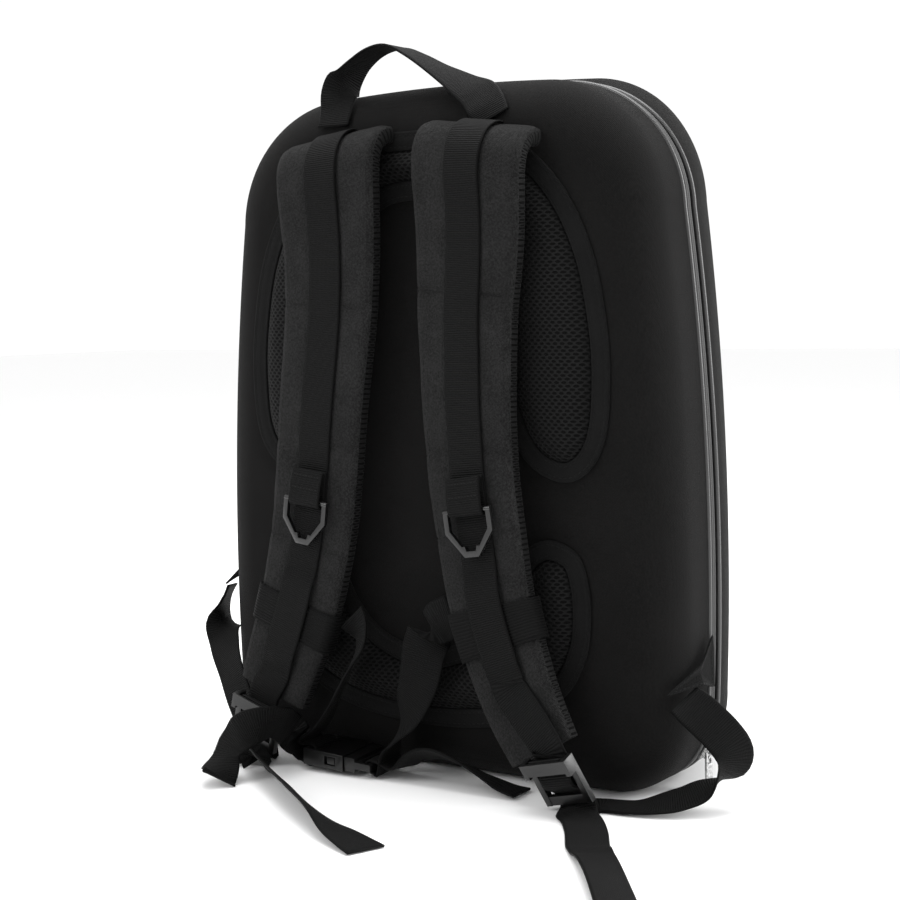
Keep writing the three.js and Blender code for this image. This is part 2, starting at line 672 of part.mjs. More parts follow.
addBand('lower_strap_left', 'webbing', frames(webRows([
  ...placed([
    [-1.0763, -0.6167, 0.2432, -0.3, 0.92, 0.2],
    [-1.095, -0.6667, 0.2205, -0.35, 0.9, 0.25],
    [-1.0901, -0.7333, 0.1977, -0.3, 0.9, 0.3],
    [-1.0589, -0.8333, 0.1773, 0, 0.8, 0.6],
    [-0.9982, -1, 0.1545, 0.35, 0.5, 0.8],
    [-0.9256, -1.15, 0.125, 0.6, 0.1, 0.75],
    [-0.8587, -1.2333, 0.0886, 0.8, 0, 0.6],
    [-0.7918, -1.2667, 0.0477, 0.88, 0, 0.46],
    [-0.7377, -1.3, 0.017, 0.96, 0, 0.2],
    [-0.7052, -1.375, 0.0082, 0.97, 0, -0.05],
  ]),
  ...throughLock(lockFrames.left, 1),
  ...placed([
    [-0.6793, -1.5433, 0.0127, 0.93, -0.1, -0.2],
    [-0.6561, -1.6583, 0.0123, 0.6, -0.65, 0.25],
    [-0.6043, -1.8, 0.0225, 0, -0.65, 0.75],
    [-0.4068, -2.2, 0.0227, -0.39, -0.57, 0.72],
    [-0.1278, -2.7667, 0.0218, -0.39, -0.57, 0.7],
    [0.0581, -3.0833, 0.0177, -0.4, -0.65, 0.55],
    [0.1974, -3.2833, 0.0091, -0.45, -0.85, 0.2],
    [0.3481, -3.4667, 0.0036, -0.42, -0.9, 0.02],
  ]),
]), 2));

// Flat piece of fabric over a few corners, its thickness split between its two faces
function addPlate(name, slot, corners, thick) {
  const count = corners.length;
  const normal = vec(0, 0, 0);
  for (let i = 1; i < count - 1; i++) {
    const a = corners[i].clone().sub(corners[0]);
    normal.add(a.cross(corners[i + 1].clone().sub(corners[0])));
  }
  normal.normalize().multiplyScalar(thick / 2);
  const body = skin([
    corners.map((p) => p.clone().sub(normal)),
    corners.map((p) => p.clone().add(normal)),
  ]);
  body.triangles.push(...endCaps(count, 2));
  addNode(name, slot, body.points, body.triangles);
}
addPlate('side_ear_right', 'strap_fabric', [
  spot(1.0488, -0.1833, 0.225), spot(1.0555, -0.5, 0.1932), spot(0.995, -0.9333, 0.1584),
  spot(1.0638, -0.5333, 0.1655), spot(1.0487, -0.1917, 0.1545),
], earThick);
addPlate('side_ear_left', 'strap_fabric', [
  spot(-1.052, -0.1833, 0.2909), spot(-1.0545, -0.1917, 0.2364), spot(-1.1038, -0.4167, 0.2591),
  spot(-1.0567, -0.8, 0.2482), spot(-1.0528, -0.5, 0.2727),
], earThick);

// Fastened side-release buckle, its length along u, its width along v
const buckle = holder(spot(-0.2905, -1.2583, 0.0216), vec(1, 0, -0.04), vec(0, 1, 0.05));
const bucklePart = (...ends) => shareBlock([buckleLength, buckleWidth, buckleThick], ...ends);
const female = bucklePart(-0.5094, 0.0943, -0.5, 0.5, -0.5, 0.5)
  .subtract(bucklePart(-0.283, 0.1132, -0.4333, 0.4333, -0.3095, 0.3095))
  .subtract(bucklePart(-0.1887, -0.0189, -0.5303, 0.5303, -0.2714, 0.2714))
  .subtract(bucklePart(-0.4528, -0.3302, -0.397, 0.397, -0.5952, 0.5952));
addSolid('buckle_female', 'plastic', female, buckle);
const male = bucklePart(0.1057, 0.2642, -0.4697, 0.4697, -0.4238, 0.4238)
  .add(bucklePart(0.2642, 0.4906, -0.4697, 0.4697, -0.2095, 0.2095))
  .subtract(bucklePart(0.3057, 0.4283, -0.3788, 0.3788, -0.4762, 0.4762))
  .add(bucklePart(-0.1509, 0.1132, -0.4091, -0.2879, -0.2286, 0.2286))
  .add(bucklePart(-0.1509, 0.1132, 0.2879, 0.4091, -0.2286, 0.2286))
  .add(bucklePart(-0.1509, -0.0377, -0.4818, -0.3939, -0.2095, 0.2095))
  .add(bucklePart(-0.1509, -0.0377, 0.3939, 0.4818, -0.2095, 0.2095))
  .add(bucklePart(-0.2264, 0.1132, -0.0606, 0.0606, -0.1905, 0.1905));
addSolid('buckle_male', 'plastic', male, buckle);

// Webbing that runs across the buckle: its width is along v, its rows are shares of buckleLength and buckleThick
function acrossBuckle(rows) {
  return rows.map(([u, n]) => [
    ...place(buckle, u * buckleLength, 0, n * buckleThick).toArray(), ...buckle.v.clone().negate().toArray(),
  ]);
}
addBand('chest_strap_left', 'webbing', frames(webRows([
  ...placed([
    [-0.2512, -1.3667, 0.2341, 0.5, 0, 0.7],
    [-0.2184, -1.375, 0.2182, 0.65, -0.3, 0.5],
    [-0.2091, -1.3917, 0.1955, 0.7, -0.6, 0.2],
    [-0.2526, -1.4083, 0.1591, 0.5, -0.8, 0.1],
    [-0.3276, -1.4, 0.1091, 0.4, -0.9, 0],
    [-0.4025, -1.3333, 0.0705, 0.2, -1, 0],
    [-0.463, -1.2917, 0.05, 0, -1, 0],
    [-0.483, -1.275, 0.0423, 0, -1, 0],
    [-0.4753, -1.2667, 0.0373, 0, -1, 0],
  ]),
  ...acrossBuckle([
    [-0.5283, -0.6286],
    [-0.4453, -0.6286],
    [-0.4, -0.419],
    [-0.3906, 0],
    [-0.4, 0.419],
    [-0.4453, 0.6286],
    [-0.5283, 0.6857],
  ]),
  ...placed([
    [-0.5052, -1.275, 0.0136, 0, -0.98, 0.2],
    [-0.5265, -1.35, 0.0364, 0.05, -0.9, 0.43],
    [-0.51, -1.55, 0.0602, 0.3, -0.65, 0.7],
    [-0.4845, -1.8167, 0.0795, 0.4, -0.25, 0.88],
    [-0.5137, -2.0333, 0.0807, 0.1, -0.1, 1],
    [-0.5658, -2.1333, 0.0705, -0.1, 0.1, 1],
    [-0.6028, -2.1833, 0.0523, -0.4, 0.4, 0.8],
    [-0.6107, -2.2833, 0.0341, -0.6, 0.6, 0.5],
    [-0.5897, -2.4333, 0.0205, -0.7, 0.5, 0.45],
    [-0.5574, -2.55, 0.0136, -0.75, 0.4, 0.45],
  ]),
], chestWidth), 2));
addBand('chest_strap_right', 'webbing', frames(webRows([
  ...placed([
    [0.2012, -1.3167, 0.25, 0.05, 0.1, 1, 1.125],
    [0.13, -1.325, 0.2341, 0.35, 0.1, 0.93, 1.2083],
    [0.0766, -1.3333, 0.2, 0.8, 0.1, 0.6, 1.25],
    [0.047, -1.3333, 0.1545, 0.98, 0, 0.2, 1.25],
    [-0.0058, -1.325, 0.1045, 0.9, -0.3, 0.1, 1.1667],
    [-0.0583, -1.3083, 0.0682, 0.5, -0.85, 0, 1.0417],
    [-0.1018, -1.2833, 0.042, 0.1, -1, 0],
  ]),
  ...acrossBuckle([
    [0.5396, 0.4381],
    [0.4717, 0.3619],
    [0.4075, 0.3238],
    [0.366, 0],
    [0.4075, -0.3238],
    [0.4717, -0.3619],
    [0.566, -0.2857],
  ]),
  ...placed([
    [-0.0581, -1.26, 0.017, 0, -1, 0.1],
    [0.0116, -1.275, 0.0352, 0, -0.9, 0.35],
    [0.0931, -1.2917, 0.0455, 0, -0.87, 0.45],
    [0.1862, -1.2833, 0.0409, 0, -0.87, 0.45],
    [0.2906, -1.25, 0.025, 0, -0.9, 0.35],
    [0.3831, -1.2167, 0.0105, 0, -0.97, 0.15],
    [0.4526, -1.2, 0.0055, 0, -1, 0.05],
  ]),
], chestWidth), 2));

// Zip slider and pull on the lower right corner; u runs along the zip, v out of the band
const slideAngle = -30 * Math.PI / 180;
const slideAt = vec(
  halfWidthBottom - cornerBottom + cornerBottom * Math.cos(slideAngle), 0,
  cornerBottom + cornerBottom * Math.sin(slideAngle),
);
const slider = {
  origin: slideAt,
  u: vec(Math.sin(slideAngle), 0, -Math.cos(slideAngle)),
  v: vec(Math.cos(slideAngle), 0, Math.sin(slideAngle)),
  n: vec(0, 1, 0),
};
const sliderPart = (...ends) => shareBlock([sliderLength, sliderLength, sliderLength], ...ends);
const bridge = sliderPart(-0.4167, 0.4167, 0.1667, 0.5667, -0.1167, 0.1167)
  .subtract(sliderPart(-0.3, 0.3, 0.1667, 0.45, -0.1667, 0.1667));
addSolid('zip_slider', 'metal', sliderPart(-0.5, 0.5, 0.075, 0.25, -0.3667, 0.3667).add(bridge), slider);
const pinHeight = sliderLength * 0.35;
const pullFrame = {
  origin: place(slider, 0, pinHeight, 0),
  u: vec(0, 0, -1),
  v: vec(1, 0, 0),
  n: vec(0, 1, 0),
};
const pullPart = (...ends) => shareBlock([pullLength, pullLength, pullLength], ...ends);
const pull = pullPart(0, 1, -0.04, 0.04, -0.2, 0.2)
  .subtract(pullPart(0.04, 0.35, -0.1, 0.1, -0.12, 0.12))
  .add(rodAlongN(pullLength * 0.4, pullLength * 0.04, 12));
addSolid('zip_pull', 'metal', pull, pullFrame);

export default group;
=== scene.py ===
from math import atan2, cos, exp, hypot, pi, radians, sin, sqrt
import bpy
import numpy as np
from mathutils import Matrix, Vector, noise
from mathutils.geometry import delaunay_2d_cdt


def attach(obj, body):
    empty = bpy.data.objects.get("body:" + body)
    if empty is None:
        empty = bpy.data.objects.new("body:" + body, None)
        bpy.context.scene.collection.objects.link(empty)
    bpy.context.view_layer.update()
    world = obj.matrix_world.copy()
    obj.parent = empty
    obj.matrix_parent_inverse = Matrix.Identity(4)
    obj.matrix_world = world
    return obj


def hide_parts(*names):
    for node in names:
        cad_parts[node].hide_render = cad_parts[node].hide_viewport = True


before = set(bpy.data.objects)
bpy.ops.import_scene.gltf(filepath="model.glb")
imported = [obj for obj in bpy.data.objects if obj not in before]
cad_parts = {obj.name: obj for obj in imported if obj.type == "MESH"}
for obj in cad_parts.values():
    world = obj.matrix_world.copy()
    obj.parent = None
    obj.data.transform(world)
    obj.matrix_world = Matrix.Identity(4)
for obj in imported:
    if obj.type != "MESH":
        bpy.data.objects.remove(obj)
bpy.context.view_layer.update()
scene = bpy.context.scene
print("frame loaded:", len(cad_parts), "nodes")

mm = 0.001
clearance = 0.35  # mm between touching pieces, as in the frame


# A socket that can be used in sums, so shader maths reads as maths
class Wire:
    def __init__(self, board, socket):
        self.board = board
        self.socket = socket

    def __add__(self, other):
        return self.board.calc("ADD", self, other)

    def __radd__(self, other):
        return self.board.calc("ADD", other, self)

    def __sub__(self, other):
        return self.board.calc("SUBTRACT", self, other)

    def __rsub__(self, other):
        return self.board.calc("SUBTRACT", other, self)

    def __mul__(self, other):
        return self.board.calc("MULTIPLY", self, other)

    def __rmul__(self, other):
        return self.board.calc("MULTIPLY", other, self)

    def __truediv__(self, other):
        return self.board.calc("DIVIDE", self, other)

    def __rtruediv__(self, other):
        return self.board.calc("DIVIDE", other, self)

    def __pow__(self, other):
        return self.board.calc("POWER", self, other)

    def __abs__(self):
        return self.board.calc("ABSOLUTE", self)


# One material and the ways to add nodes to it
class Board:
    def __init__(self, name):
        self.material = bpy.data.materials.new(name)
        self.material.use_nodes = True
        self.tree = self.material.node_tree
        self.tree.nodes.clear()

    def plug(self, target, value):
        if isinstance(value, Wire):
            self.tree.links.new(value.socket, target)
        else:
            target.default_value = value

    # Settings come first, then the values or links of the sockets, by name or number
    def add(self, kind, settings=None, values=None, output=0):
        node = self.tree.nodes.new(kind)
        for key, value in (settings or {}).items():
            setattr(node, key, value)
        for key, value in (values or {}).items():
            self.plug(node.inputs[key], value)
        return Wire(self, node.outputs[output])

    def calc(self, operation, *parts):
        return self.add("ShaderNodeMath", {"operation": operation}, dict(enumerate(parts)))

    def sine(self, value):
        return self.calc("SINE", value)

    # Ridges from 0 to 1, one per pitch in millimetres
    def ridges(self, value, pitch, shift=0.0):
        return self.sine(value * (2 * pi / pitch) + shift) * 0.5 + 0.5

    def part(self, value):
        return self.calc("FRACT", value)

    # Smooth step from 0 at low to 1 at high
    def rise(self, value, low, high):
        return self.add("ShaderNodeMapRange", {"interpolation_type": "SMOOTHSTEP"},
                        {"Value": value, "From Min": low, "From Max": high})

    def blendColour(self, amount, first, second):
        node = self.tree.nodes.new("ShaderNodeMix")
        node.data_type = "RGBA"
        self.plug(node.inputs[0], amount)
        self.plug(node.inputs[6], first)
        self.plug(node.inputs[7], second)
        return Wire(self, node.outputs[2])

    # Object coordinates in millimetres
    def place(self):
        at = self.add("ShaderNodeTexCoord", output="Object")
        return self.add("ShaderNodeVectorMath", {"operation": "SCALE"}, {0: at, "Scale": 1 / mm})

    def split(self, vector):
        node = self.tree.nodes.new("ShaderNodeSeparateXYZ")
        self.plug(node.inputs[0], vector)
        return [Wire(self, out) for out in node.outputs]

    # Coordinates in millimetres that a piece carries: along it, across it, and which side
    def strip(self):
        return self.split(self.add("ShaderNodeAttribute", {"attribute_name": "strip"}, output="Vector"))

    def greys(self, amount, dark, light, warm=0.0):
        return self.blendColour(amount, shade(dark, warm), shade(light, warm))

    def grain(self, scale, detail=2.0, rough=0.5, at=None):
        values = {"Vector": at or self.place(), "Scale": scale, "Detail": detail, "Roughness": rough}
        return self.add("ShaderNodeTexNoise", None, values)

    def bump(self, height, distance, strength=1.0):
        values = {"Height": height, "Distance": distance * mm, "Strength": strength}
        return self.add("ShaderNodeBump", None, values)

    def finish(self, colour, rough, bump=None, others=None):
        shader = self.tree.nodes.new("ShaderNodeBsdfPrincipled")
        values = {"Base Color": colour, "Roughness": rough, **(others or {})}
        if bump:
            values["Normal"] = bump
        for key, value in values.items():
            self.plug(shader.inputs[key], value)
        out = self.tree.nodes.new("ShaderNodeOutputMaterial")
        self.tree.links.new(shader.outputs[0], out.inputs[0])
        return self.material


# Fixed values of a dull cloth: fibres catch a little light at a low angle
def sheen(weight, rough, specular, tint=None):
    values = {"Sheen Weight": weight, "Sheen Roughness": rough, "Specular IOR Level": specular}
    return {**values, "Sheen Tint": shade(tint)} if tint else values


def shade(level, warm=0.0):
    # display brightness 0..255 to a linear grey, a little warm or cool
    linear = (level / 255) ** 2.2
    return (linear * (1 + warm), linear, linear * (1 - 0.5 * warm), 1.0)


# Plain weave seen on the side that a surface faces, from object coordinates in millimetres
def weaveHeight(board, pitch):
    x, y, z = board.split(board.place())
    turn = 2 * pi / pitch
    facing = board.split(board.add("ShaderNodeNewGeometry", output="Normal"))
    sx, sy, sz = (board.sine(axis * turn) for axis in (x, y, z))
    weights = [abs(part) ** 2 for part in facing]
    return sy * sz * weights[0] + sx * sz * weights[1] + sx * sy * weights[2]


clothLooks = {
    "shellCloth": {
        "levels": (9, 26, 0.05), "pitch": 0.9, "mottle": (0.9, 3.0, 0.6), "cloud": 0.03, "weave": 0.12,
        "range": (0.25, 0.65), "relief": (0.6, 1.0), "bump": (0.3, 0.8), "rough": 0.74,
        "sheen": (0.03, 0.45, 0.1, 190),
    },
    "strapCloth": {
        "levels": (10, 52), "pitch": 0.95, "mottle": (0.8, 4.0, 0.7), "cloud": 0.05, "weave": 0.16,
        "range": (0.28, 0.66), "relief": (0.7, 1.3), "bump": (0.55, 1.0), "rough": 0.78,
        "sheen": (0.04, 0.5, 0.1, 200),
    },
}
clothLooks["borderCloth"] = {**clothLooks["strapCloth"], "levels": (7, 29)}


# Heathered cloth: mottle, slow clouds and weave share one tone
def heatheredCloth(name):
    board = Board(name)
    look = clothLooks[name]
    mottle = board.grain(*look["mottle"])
    cloudy = board.grain(look["cloud"])
    weave = weaveHeight(board, look["pitch"])
    tone = board.rise(mottle * 0.7 + cloudy * 0.2 + weave * look["weave"], *look["range"])
    raised = weave * look["relief"][0] + mottle * look["relief"][1]
    return board.finish(board.greys(tone, *look["levels"]), look["rough"] + tone * 0.14,
                        board.bump(raised, *look["bump"]), sheen(*look["sheen"]))


webLook = {"rib": 1.35, "edge": 1.3}


# Webbing: ribs straight across, a flat selvedge on both sides
def ribbedWebbing(name="ribbedWebbing", levels=(0, 24), rib=None):
    board = Board(name)
    along, across, half = board.strip()
    pitch = rib or webLook["rib"]
    wobble = board.grain(0.5)
    ribs = board.ridges(along + wobble * 0.25, pitch)
    ends = board.ridges(across, 1.05)
    toEdge = half - abs(across)
    body = board.rise(toEdge, webLook["edge"] - 0.5, webLook["edge"] + 0.2)
    fine = board.grain(2.4, 3.0, 0.7)
    height = (ribs + ends * 0.2) * body + (1 - body) * 0.7 + fine * 0.3
    tone = board.rise(ribs * 0.9 * body + fine * 0.4 + wobble * 0.15, 0.2, 1.2)
    return board.finish(board.greys(tone, *levels), 0.62 + tone * 0.16, board.bump(height, 0.45, 0.9),
                        sheen(0.02, 0.45, 0.1, 190))


meshLook = {"wide": 4.6, "tall": 4.2, "holeWide": 0.66, "holeTall": 0.4}


# Air mesh: staggered lens-shaped holes between knitted strands; u and v are in millimetres
def airMeshNodes(board, u, v, levels):
    def lens(shiftU, shiftV):
        a = abs(board.part(u / meshLook["wide"] + shiftU) - 0.5) * (2 / meshLook["holeWide"])
        b = abs(board.part(v / meshLook["tall"] + shiftV) - 0.5) * (2 / meshLook["holeTall"])
        return a ** 2 + b ** 2
    near = board.calc("MINIMUM", lens(0.0, 0.0), lens(0.5, 0.5))
    solid = board.rise(near, 0.5, 1.5)
    strands = board.ridges(v, 0.75, u * 1.1)
    fine = board.grain(1.8, 3.0, 0.7)
    tone = board.rise(solid * 0.75 + strands * 0.18 * solid + fine * 0.22, 0.2, 1.05)
    bump = board.bump(solid + strands * 0.12 + fine * 0.1, 0.85, 0.9)
    return board.finish(board.greys(tone, *levels), 0.9 - solid * 0.22, bump,
                        sheen(0.03, 0.4, 0.12, 200))


def padMesh():
    board = Board("padMesh")
    x, _, z = board.split(board.place())
    return airMeshNodes(board, x + z * 0.12, z, (0, 22))


def strapMesh():
    board = Board("strapMesh")
    along, across, _ = board.strip()
    return airMeshNodes(board, across * 1.5, along * 1.3, (2, 29))


def zipTape():
    board = Board("zipTape")
    along, across, _ = board.strip()
    seam = board.rise(abs(across), 0.25, 0.6)
    ribs = board.ridges(along, 1.3)
    fine = board.grain(1.6, 3.0, 0.6)
    coil = (1 - board.rise(abs(across), 1.5, 2.0)) * seam
    # painted shade: the tape darkens towards its outer edges, where it dips into the groove beside the
    # piping
    side = board.rise(abs(across), 2.6, 3.4)
    tone = board.rise(fine * 0.4 + ribs * 0.3 * coil + seam * 0.45 - side * 0.35, 0.1, 1.0)
    bump = board.bump(ribs * coil * 0.8 + fine * 0.3 + seam, 0.25, 0.8)
    return board.finish(board.greys(tone, 5, 27), 0.45 + fine * 0.25, bump, sheen(0.2, 0.4, 0.5))


def pipingCover():
    board = Board("pipingCover")
    along, across, _ = board.strip()
    twist = board.ridges(along, 1.1, across * 2.0)
    fine = board.grain(1.4, 3.0, 0.6)
    tone = board.rise(twist * 0.35 + fine * 0.6, 0.15, 0.85)
    bump = board.bump(twist + fine * 0.4, 0.12, 0.6)
    return board.finish(board.greys(tone, 12, 33), 0.3 + fine * 0.2, bump,
                        {"Specular IOR Level": 0.6, "Coat Roughness": 0.2, "Coat Weight": 0.4})


# Moulded plastic: fine spark-eroded grain, with a painted highlight that lightens the colour along its
# edges
def mouldedPlastic(name, level, rough, highlightStrength):
    board = Board(name)
    spark = board.grain(3.2, 4.0, 0.75)
    cloudy = board.grain(0.12, 3.0)
    edge = board.add("ShaderNodeNewGeometry", output="Pointiness")
    # painted highlight: the colour is lightened along sharp edges, where light catches them
    edgeHighlight = board.rise(edge + cloudy * 0.02, 0.51, 0.56)
    base = board.greys(cloudy, level * 0.85, level * 1.15)
    colour = board.blendColour(edgeHighlight * highlightStrength, base, shade(min(200, level * 2.4)))
    return board.finish(colour, rough + spark * 0.16 - edgeHighlight * 0.08, board.bump(spark, 0.05, 0.6),
                        {"Specular IOR Level": 0.5})


def platedMetal():
    board = Board("platedMetal")
    brushed = board.add("ShaderNodeVectorMath", {"operation": "MULTIPLY"},
                        {0: board.place(), 1: (0.4, 6.0, 0.4)})
    lines = board.grain(1.0, 3.0, 0.6, brushed)
    colour = board.greys(board.rise(board.grain(0.6, 3.0), 0.35, 0.7), 150, 214)
    return board.finish(colour, 0.2 + lines * 0.2, board.bump(lines, 0.03, 0.5), {"Metallic": 1.0})


def sewingThread():
    board = Board("sewingThread")
    ply = board.grain(4.0)
    return board.finish(board.greys(ply, 6, 20), 0.5 + ply * 0.2, board.bump(ply, 0.06, 0.6),
                        sheen(0.02, 0.4, 0.2))


finishes = {
    "shell": heatheredCloth("shellCloth"), "strap": heatheredCloth("strapCloth"),
    "border": heatheredCloth("borderCloth"), "web": ribbedWebbing(),
    "band": ribbedWebbing("elasticBand", (7, 19), 1.9), "padMesh": padMesh(), "strapMesh": strapMesh(),
    "zip": zipTape(), "piping": pipingCover(), "plastic": mouldedPlastic("lockPlastic", 11, 0.32, 0.2),
    "ringPlastic": mouldedPlastic("ringPlastic", 18, 0.26, 0.25), "metal": platedMetal(),
    "thread": sewingThread(),
}
print("finishes made:", len(finishes))


def addObject(name, data):
    made = bpy.data.objects.new(name, data)
    scene.collection.objects.link(made)
    return made


# Mesh from points in millimetres, with a strip coordinate per point where given
def newPiece(name, points, faces, looks, faceLooks=None, strip=None):
    mesh = bpy.data.meshes.new(name)
    mesh.from_pydata([tuple(c * mm for c in p) for p in points], [], [tuple(f) for f in faces])
    for look in looks:
        mesh.materials.append(finishes[look])
    if faceLooks is not None:
        mesh.polygons.foreach_set("material_index", faceLooks)
    if strip is not None:
        layer = mesh.attributes.new("strip", "FLOAT_VECTOR", "POINT")
        layer.data.foreach_set("vector", np.asarray(strip, dtype=np.float32).ravel())
    mesh.polygons.foreach_set("use_smooth", [True] * len(mesh.polygons))
    mesh.update()
    return addObject(name, mesh)


def settle(piece, nodes=(), body="pack"):
    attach(piece, body)
    if nodes:
        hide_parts(*nodes)


# Faces between rings of equal length
def ringFaces(ringCount, count, looped=False, start=0):
    faces = []
    for r in range(ringCount if looped else ringCount - 1):
        for i in range(count):
            a = start + r * count + i
            b = start + r * count + (i + 1) % count
            c = start + ((r + 1) % ringCount) * count + (i + 1) % count
            d = start + ((r + 1) % ringCount) * count + i
            faces.append((a, b, c, d))
    return faces


def smoothStep(low, high, value):
    t = np.clip((np.asarray(value, dtype=float) - low) / (high - low), 0, 1)
    return t * t * (3 - 2 * t)


# Catmull-Rom through rows of numbers
def through(rows, steps, closed=False):
    rows = [floats(row) for row in rows]
    count = len(rows)

    def at(i):
        return rows[i % count] if closed else rows[min(count - 1, max(0, i))]
    out = []
    for i in range(count if closed else count - 1):
        a, b, c, d = at(i - 1), at(i), at(i + 1), at(i + 2)
        for s in range(steps):
            t = s / steps
            out.append(0.5 * (2 * b + (c - a) * t + (2 * a - 5 * b + 4 * c - d) * t * t
                              + (3 * b - a - 3 * c + d) * t ** 3))
    if not closed:
        out.append(rows[-1].copy())
    return np.array(out)


def floats(values):
    return np.array(values, dtype=float)


def unit(vector):
    return vector / max(1e-9, float(np.linalg.norm(vector)))


# Moving frames along rows [x, y, z, ux, uy, uz, width]: u runs across the band
class Stop:
    def __init__(self, centre, travel, across, width, along):
        self.centre = centre
        self.travel = travel
        self.across = across
        self.face = unit(np.cross(travel, across))
        self.width = width
        self.along = along

    def at(self, u, n):
        return self.centre + self.across * u + self.face * n


def route(rows, steps, sizes=25.0):
    full = [list(row[:6]) + [row[6] if len(row) > 6 else sizes] for row in rows]
    dense = through(full, steps)
    stops = []
    along = 0.0
    for i, row in enumerate(dense):
        before = dense[max(0, i - 1)]
        after = dense[min(len(dense) - 1, i + 1)]
        travel = unit(after[:3] - before[:3])
        across = unit(row[3:6] - travel * float(np.dot(row[3:6], travel)))
        if i:
            along += float(np.linalg.norm(row[:3] - dense[i - 1][:3]))
        stops.append(Stop(row[:3], travel, across, row[6], along))
    return stops


def resample(stops, spacing):
    # keeps about one stop per spacing of length
    kept = [stops[0]]
    for stop in stops[1:-1]:
        if stop.along - kept[-1].along >= spacing:
            kept.append(stop)
    return kept + [stops[-1]]


# Closed skin round a route: section(stop) gives [across, out, look] points
def sweep(name, stops, section, looks):
    points, strip, ringLooks = [], [], []
    for stop in stops:
        ring = section(stop)
        low = min(stop.at(u, n)[2] for u, n, look in ring)
        lift = max(0.0, 0.3 - low)
        for u, n, look in ring:
            p = stop.at(u, n)
            points.append((p[0], p[1], p[2] + lift))
            strip.append((stop.along, u, stop.width / 2))
        ringLooks.append([look for u, n, look in ring])
    count = len(ringLooks[0])
    faces = ringFaces(len(stops), count)
    faceLooks = [ringLooks[r][i] for r in range(len(stops) - 1) for i in range(count)]
    for r in (0, len(stops) - 1):
        base = r * count
        middle = len(points)
        points.append(tuple(np.mean([points[base + i] for i in range(count)], axis=0)))
        strip.append((stops[r].along, 0, stops[r].width / 2))
        for i in range(count):
            pair = (base + i, base + (i + 1) % count)
            faces.append((pair[1], pair[0], middle) if r == 0 else (pair[0], pair[1], middle))
            faceLooks.append(ringLooks[r][i])
    return newPiece(name, points, faces, looks, faceLooks, strip)


# Webbing section: flat faces, rounded selvedges, slight swell along both edges
def webSection(thick, ripple, seed, columns=12):
    def section(stop):
        half = stop.width / 2
        t = thick / 2
        ring = []
        shares = [-1 + 2 * i / columns for i in range(columns + 1)]
        for side in (1, -1):
            for s in (shares if side == 1 else shares[::-1]):
                u = s * (half - t)
                edge = float(smoothStep(half - 2.2, half - 0.8, abs(u)))
                wave = ripple * noise.noise(Vector((stop.along * 0.05 + seed, s * 1.3, seed)))
                ring.append((u, side * (t * (1 + 0.18 * edge)) + wave, 0))
            ring.append((side * half, ring[-1][1] - side * t, 0))
        return ring
    return section


webThick = 1.4
webWidth = 25.0


def webbing(name, rows, nodes, steps=10, spacing=1.6, width=webWidth, ripple=0.25):
    stops = resample(route(rows, steps, width), spacing)
    seed = float(sum(map(ord, name)) % 17)
    piece = sweep(name, stops, webSection(webThick, ripple=ripple, seed=seed), ["web"])
    settle(piece, nodes)


# Stitches: small spindles of thread joined into one mesh; each is (middle, direction, up)
def stitches(name, places, length, radius):
    points, faces = [], []
    sides = 6
    profile = [(-0.5, 0.25), (-0.28, 0.9), (0, 1.0), (0.28, 0.9), (0.5, 0.25)]
    for middle, direction, up in places:
        direction = unit(floats(direction))
        side = unit(np.cross(direction, up))
        up = unit(np.cross(side, direction))
        start = len(points)
        for along, fat in profile:
            sink = 0.35 * (1 - fat)
            for k in range(sides):
                a = 2 * pi * k / sides
                offset = side * cos(a) * fat * radius + up * (sin(a) * fat - sink) * radius
                points.append(tuple(np.array(middle) + direction * along * length + offset))
        faces += ringFaces(len(profile), sides, start=start)
        faces.append(tuple(start + k for k in range(sides))[::-1])
        faces.append(tuple(start + (len(profile) - 1) * sides + k for k in range(sides)))
    settle(newPiece(name, points, faces, ["thread"]))


# Length run so far at each point of a line
def runLengths(points):
    return np.concatenate([[0], np.cumsum(np.linalg.norm(np.diff(points, axis=0), axis=1))])


def alongLine(points, normals, pitch):
    # evenly spaced stitches on an open or closed line of points
    points = floats(points)
    normals = floats(normals)
    lengths = runLengths(points)
    out = []
    for k in range(int(lengths[-1] / pitch)):
        s = (k + 0.5) * pitch
        i = min(len(points) - 2, int(np.searchsorted(lengths, s)) - 1)
        t = (s - lengths[i]) / max(1e-9, lengths[i + 1] - lengths[i])
        at = points[i] * (1 - t) + points[i + 1] * t
        out.append((at, points[i + 1] - points[i], unit(normals[i] * (1 - t) + normals[i + 1] * t)))
    return out


# The camera first: the photograph's place and view, in the frame's own millimetres
view = {"place": (624.5, -954.1, 300.8), "yaw": 34.0, "pitch": 4.78, "roll": -1.07, "lens": 69.06}


def setCamera():
    yaw, pitch, roll = (radians(view[k]) for k in ("yaw", "pitch", "roll"))
    level = cos(pitch)
    ahead = Vector((-sin(yaw) * level, cos(yaw) * level, -sin(pitch)))
    right = ahead.cross(Vector((0, 0, 1))).normalized()
    up = right.cross(ahead)
    tilted = right * cos(roll) + up * sin(roll)
    upright = up * cos(roll) - right * sin(roll)
    data = bpy.data.cameras.new("camera")
    data.lens = view["lens"]
    data.sensor_width = 36.0
    camera = addObject("camera", data)
    turn = Matrix((tilted, upright, -ahead)).transposed().to_4x4()
    camera.matrix_world = Matrix.Translation(Vector(view["place"]) * mm) @ turn
    scene.camera = camera


setCamera()

# Shell outline, as in the frame: half from the bottom centre to the top centre, mirrored
shell = {
    "height": 440.0, "halfBottom": 172.4, "halfTop": 158.8, "cornerBottom": 50.9, "cornerTop": 83.3,
    "arch": 2.3, "bulge": 6.4, "backDepth": 60.0, "backFillet": 30.0, "draft": 0.06, "wall": 3.5,
    "zipHalf": 4.6, "piping": 3.2,
}
pipingInner = shell["zipHalf"] + clearance
shellEdge = pipingInner + shell["piping"] + clearance
panelY = -shell["backDepth"]


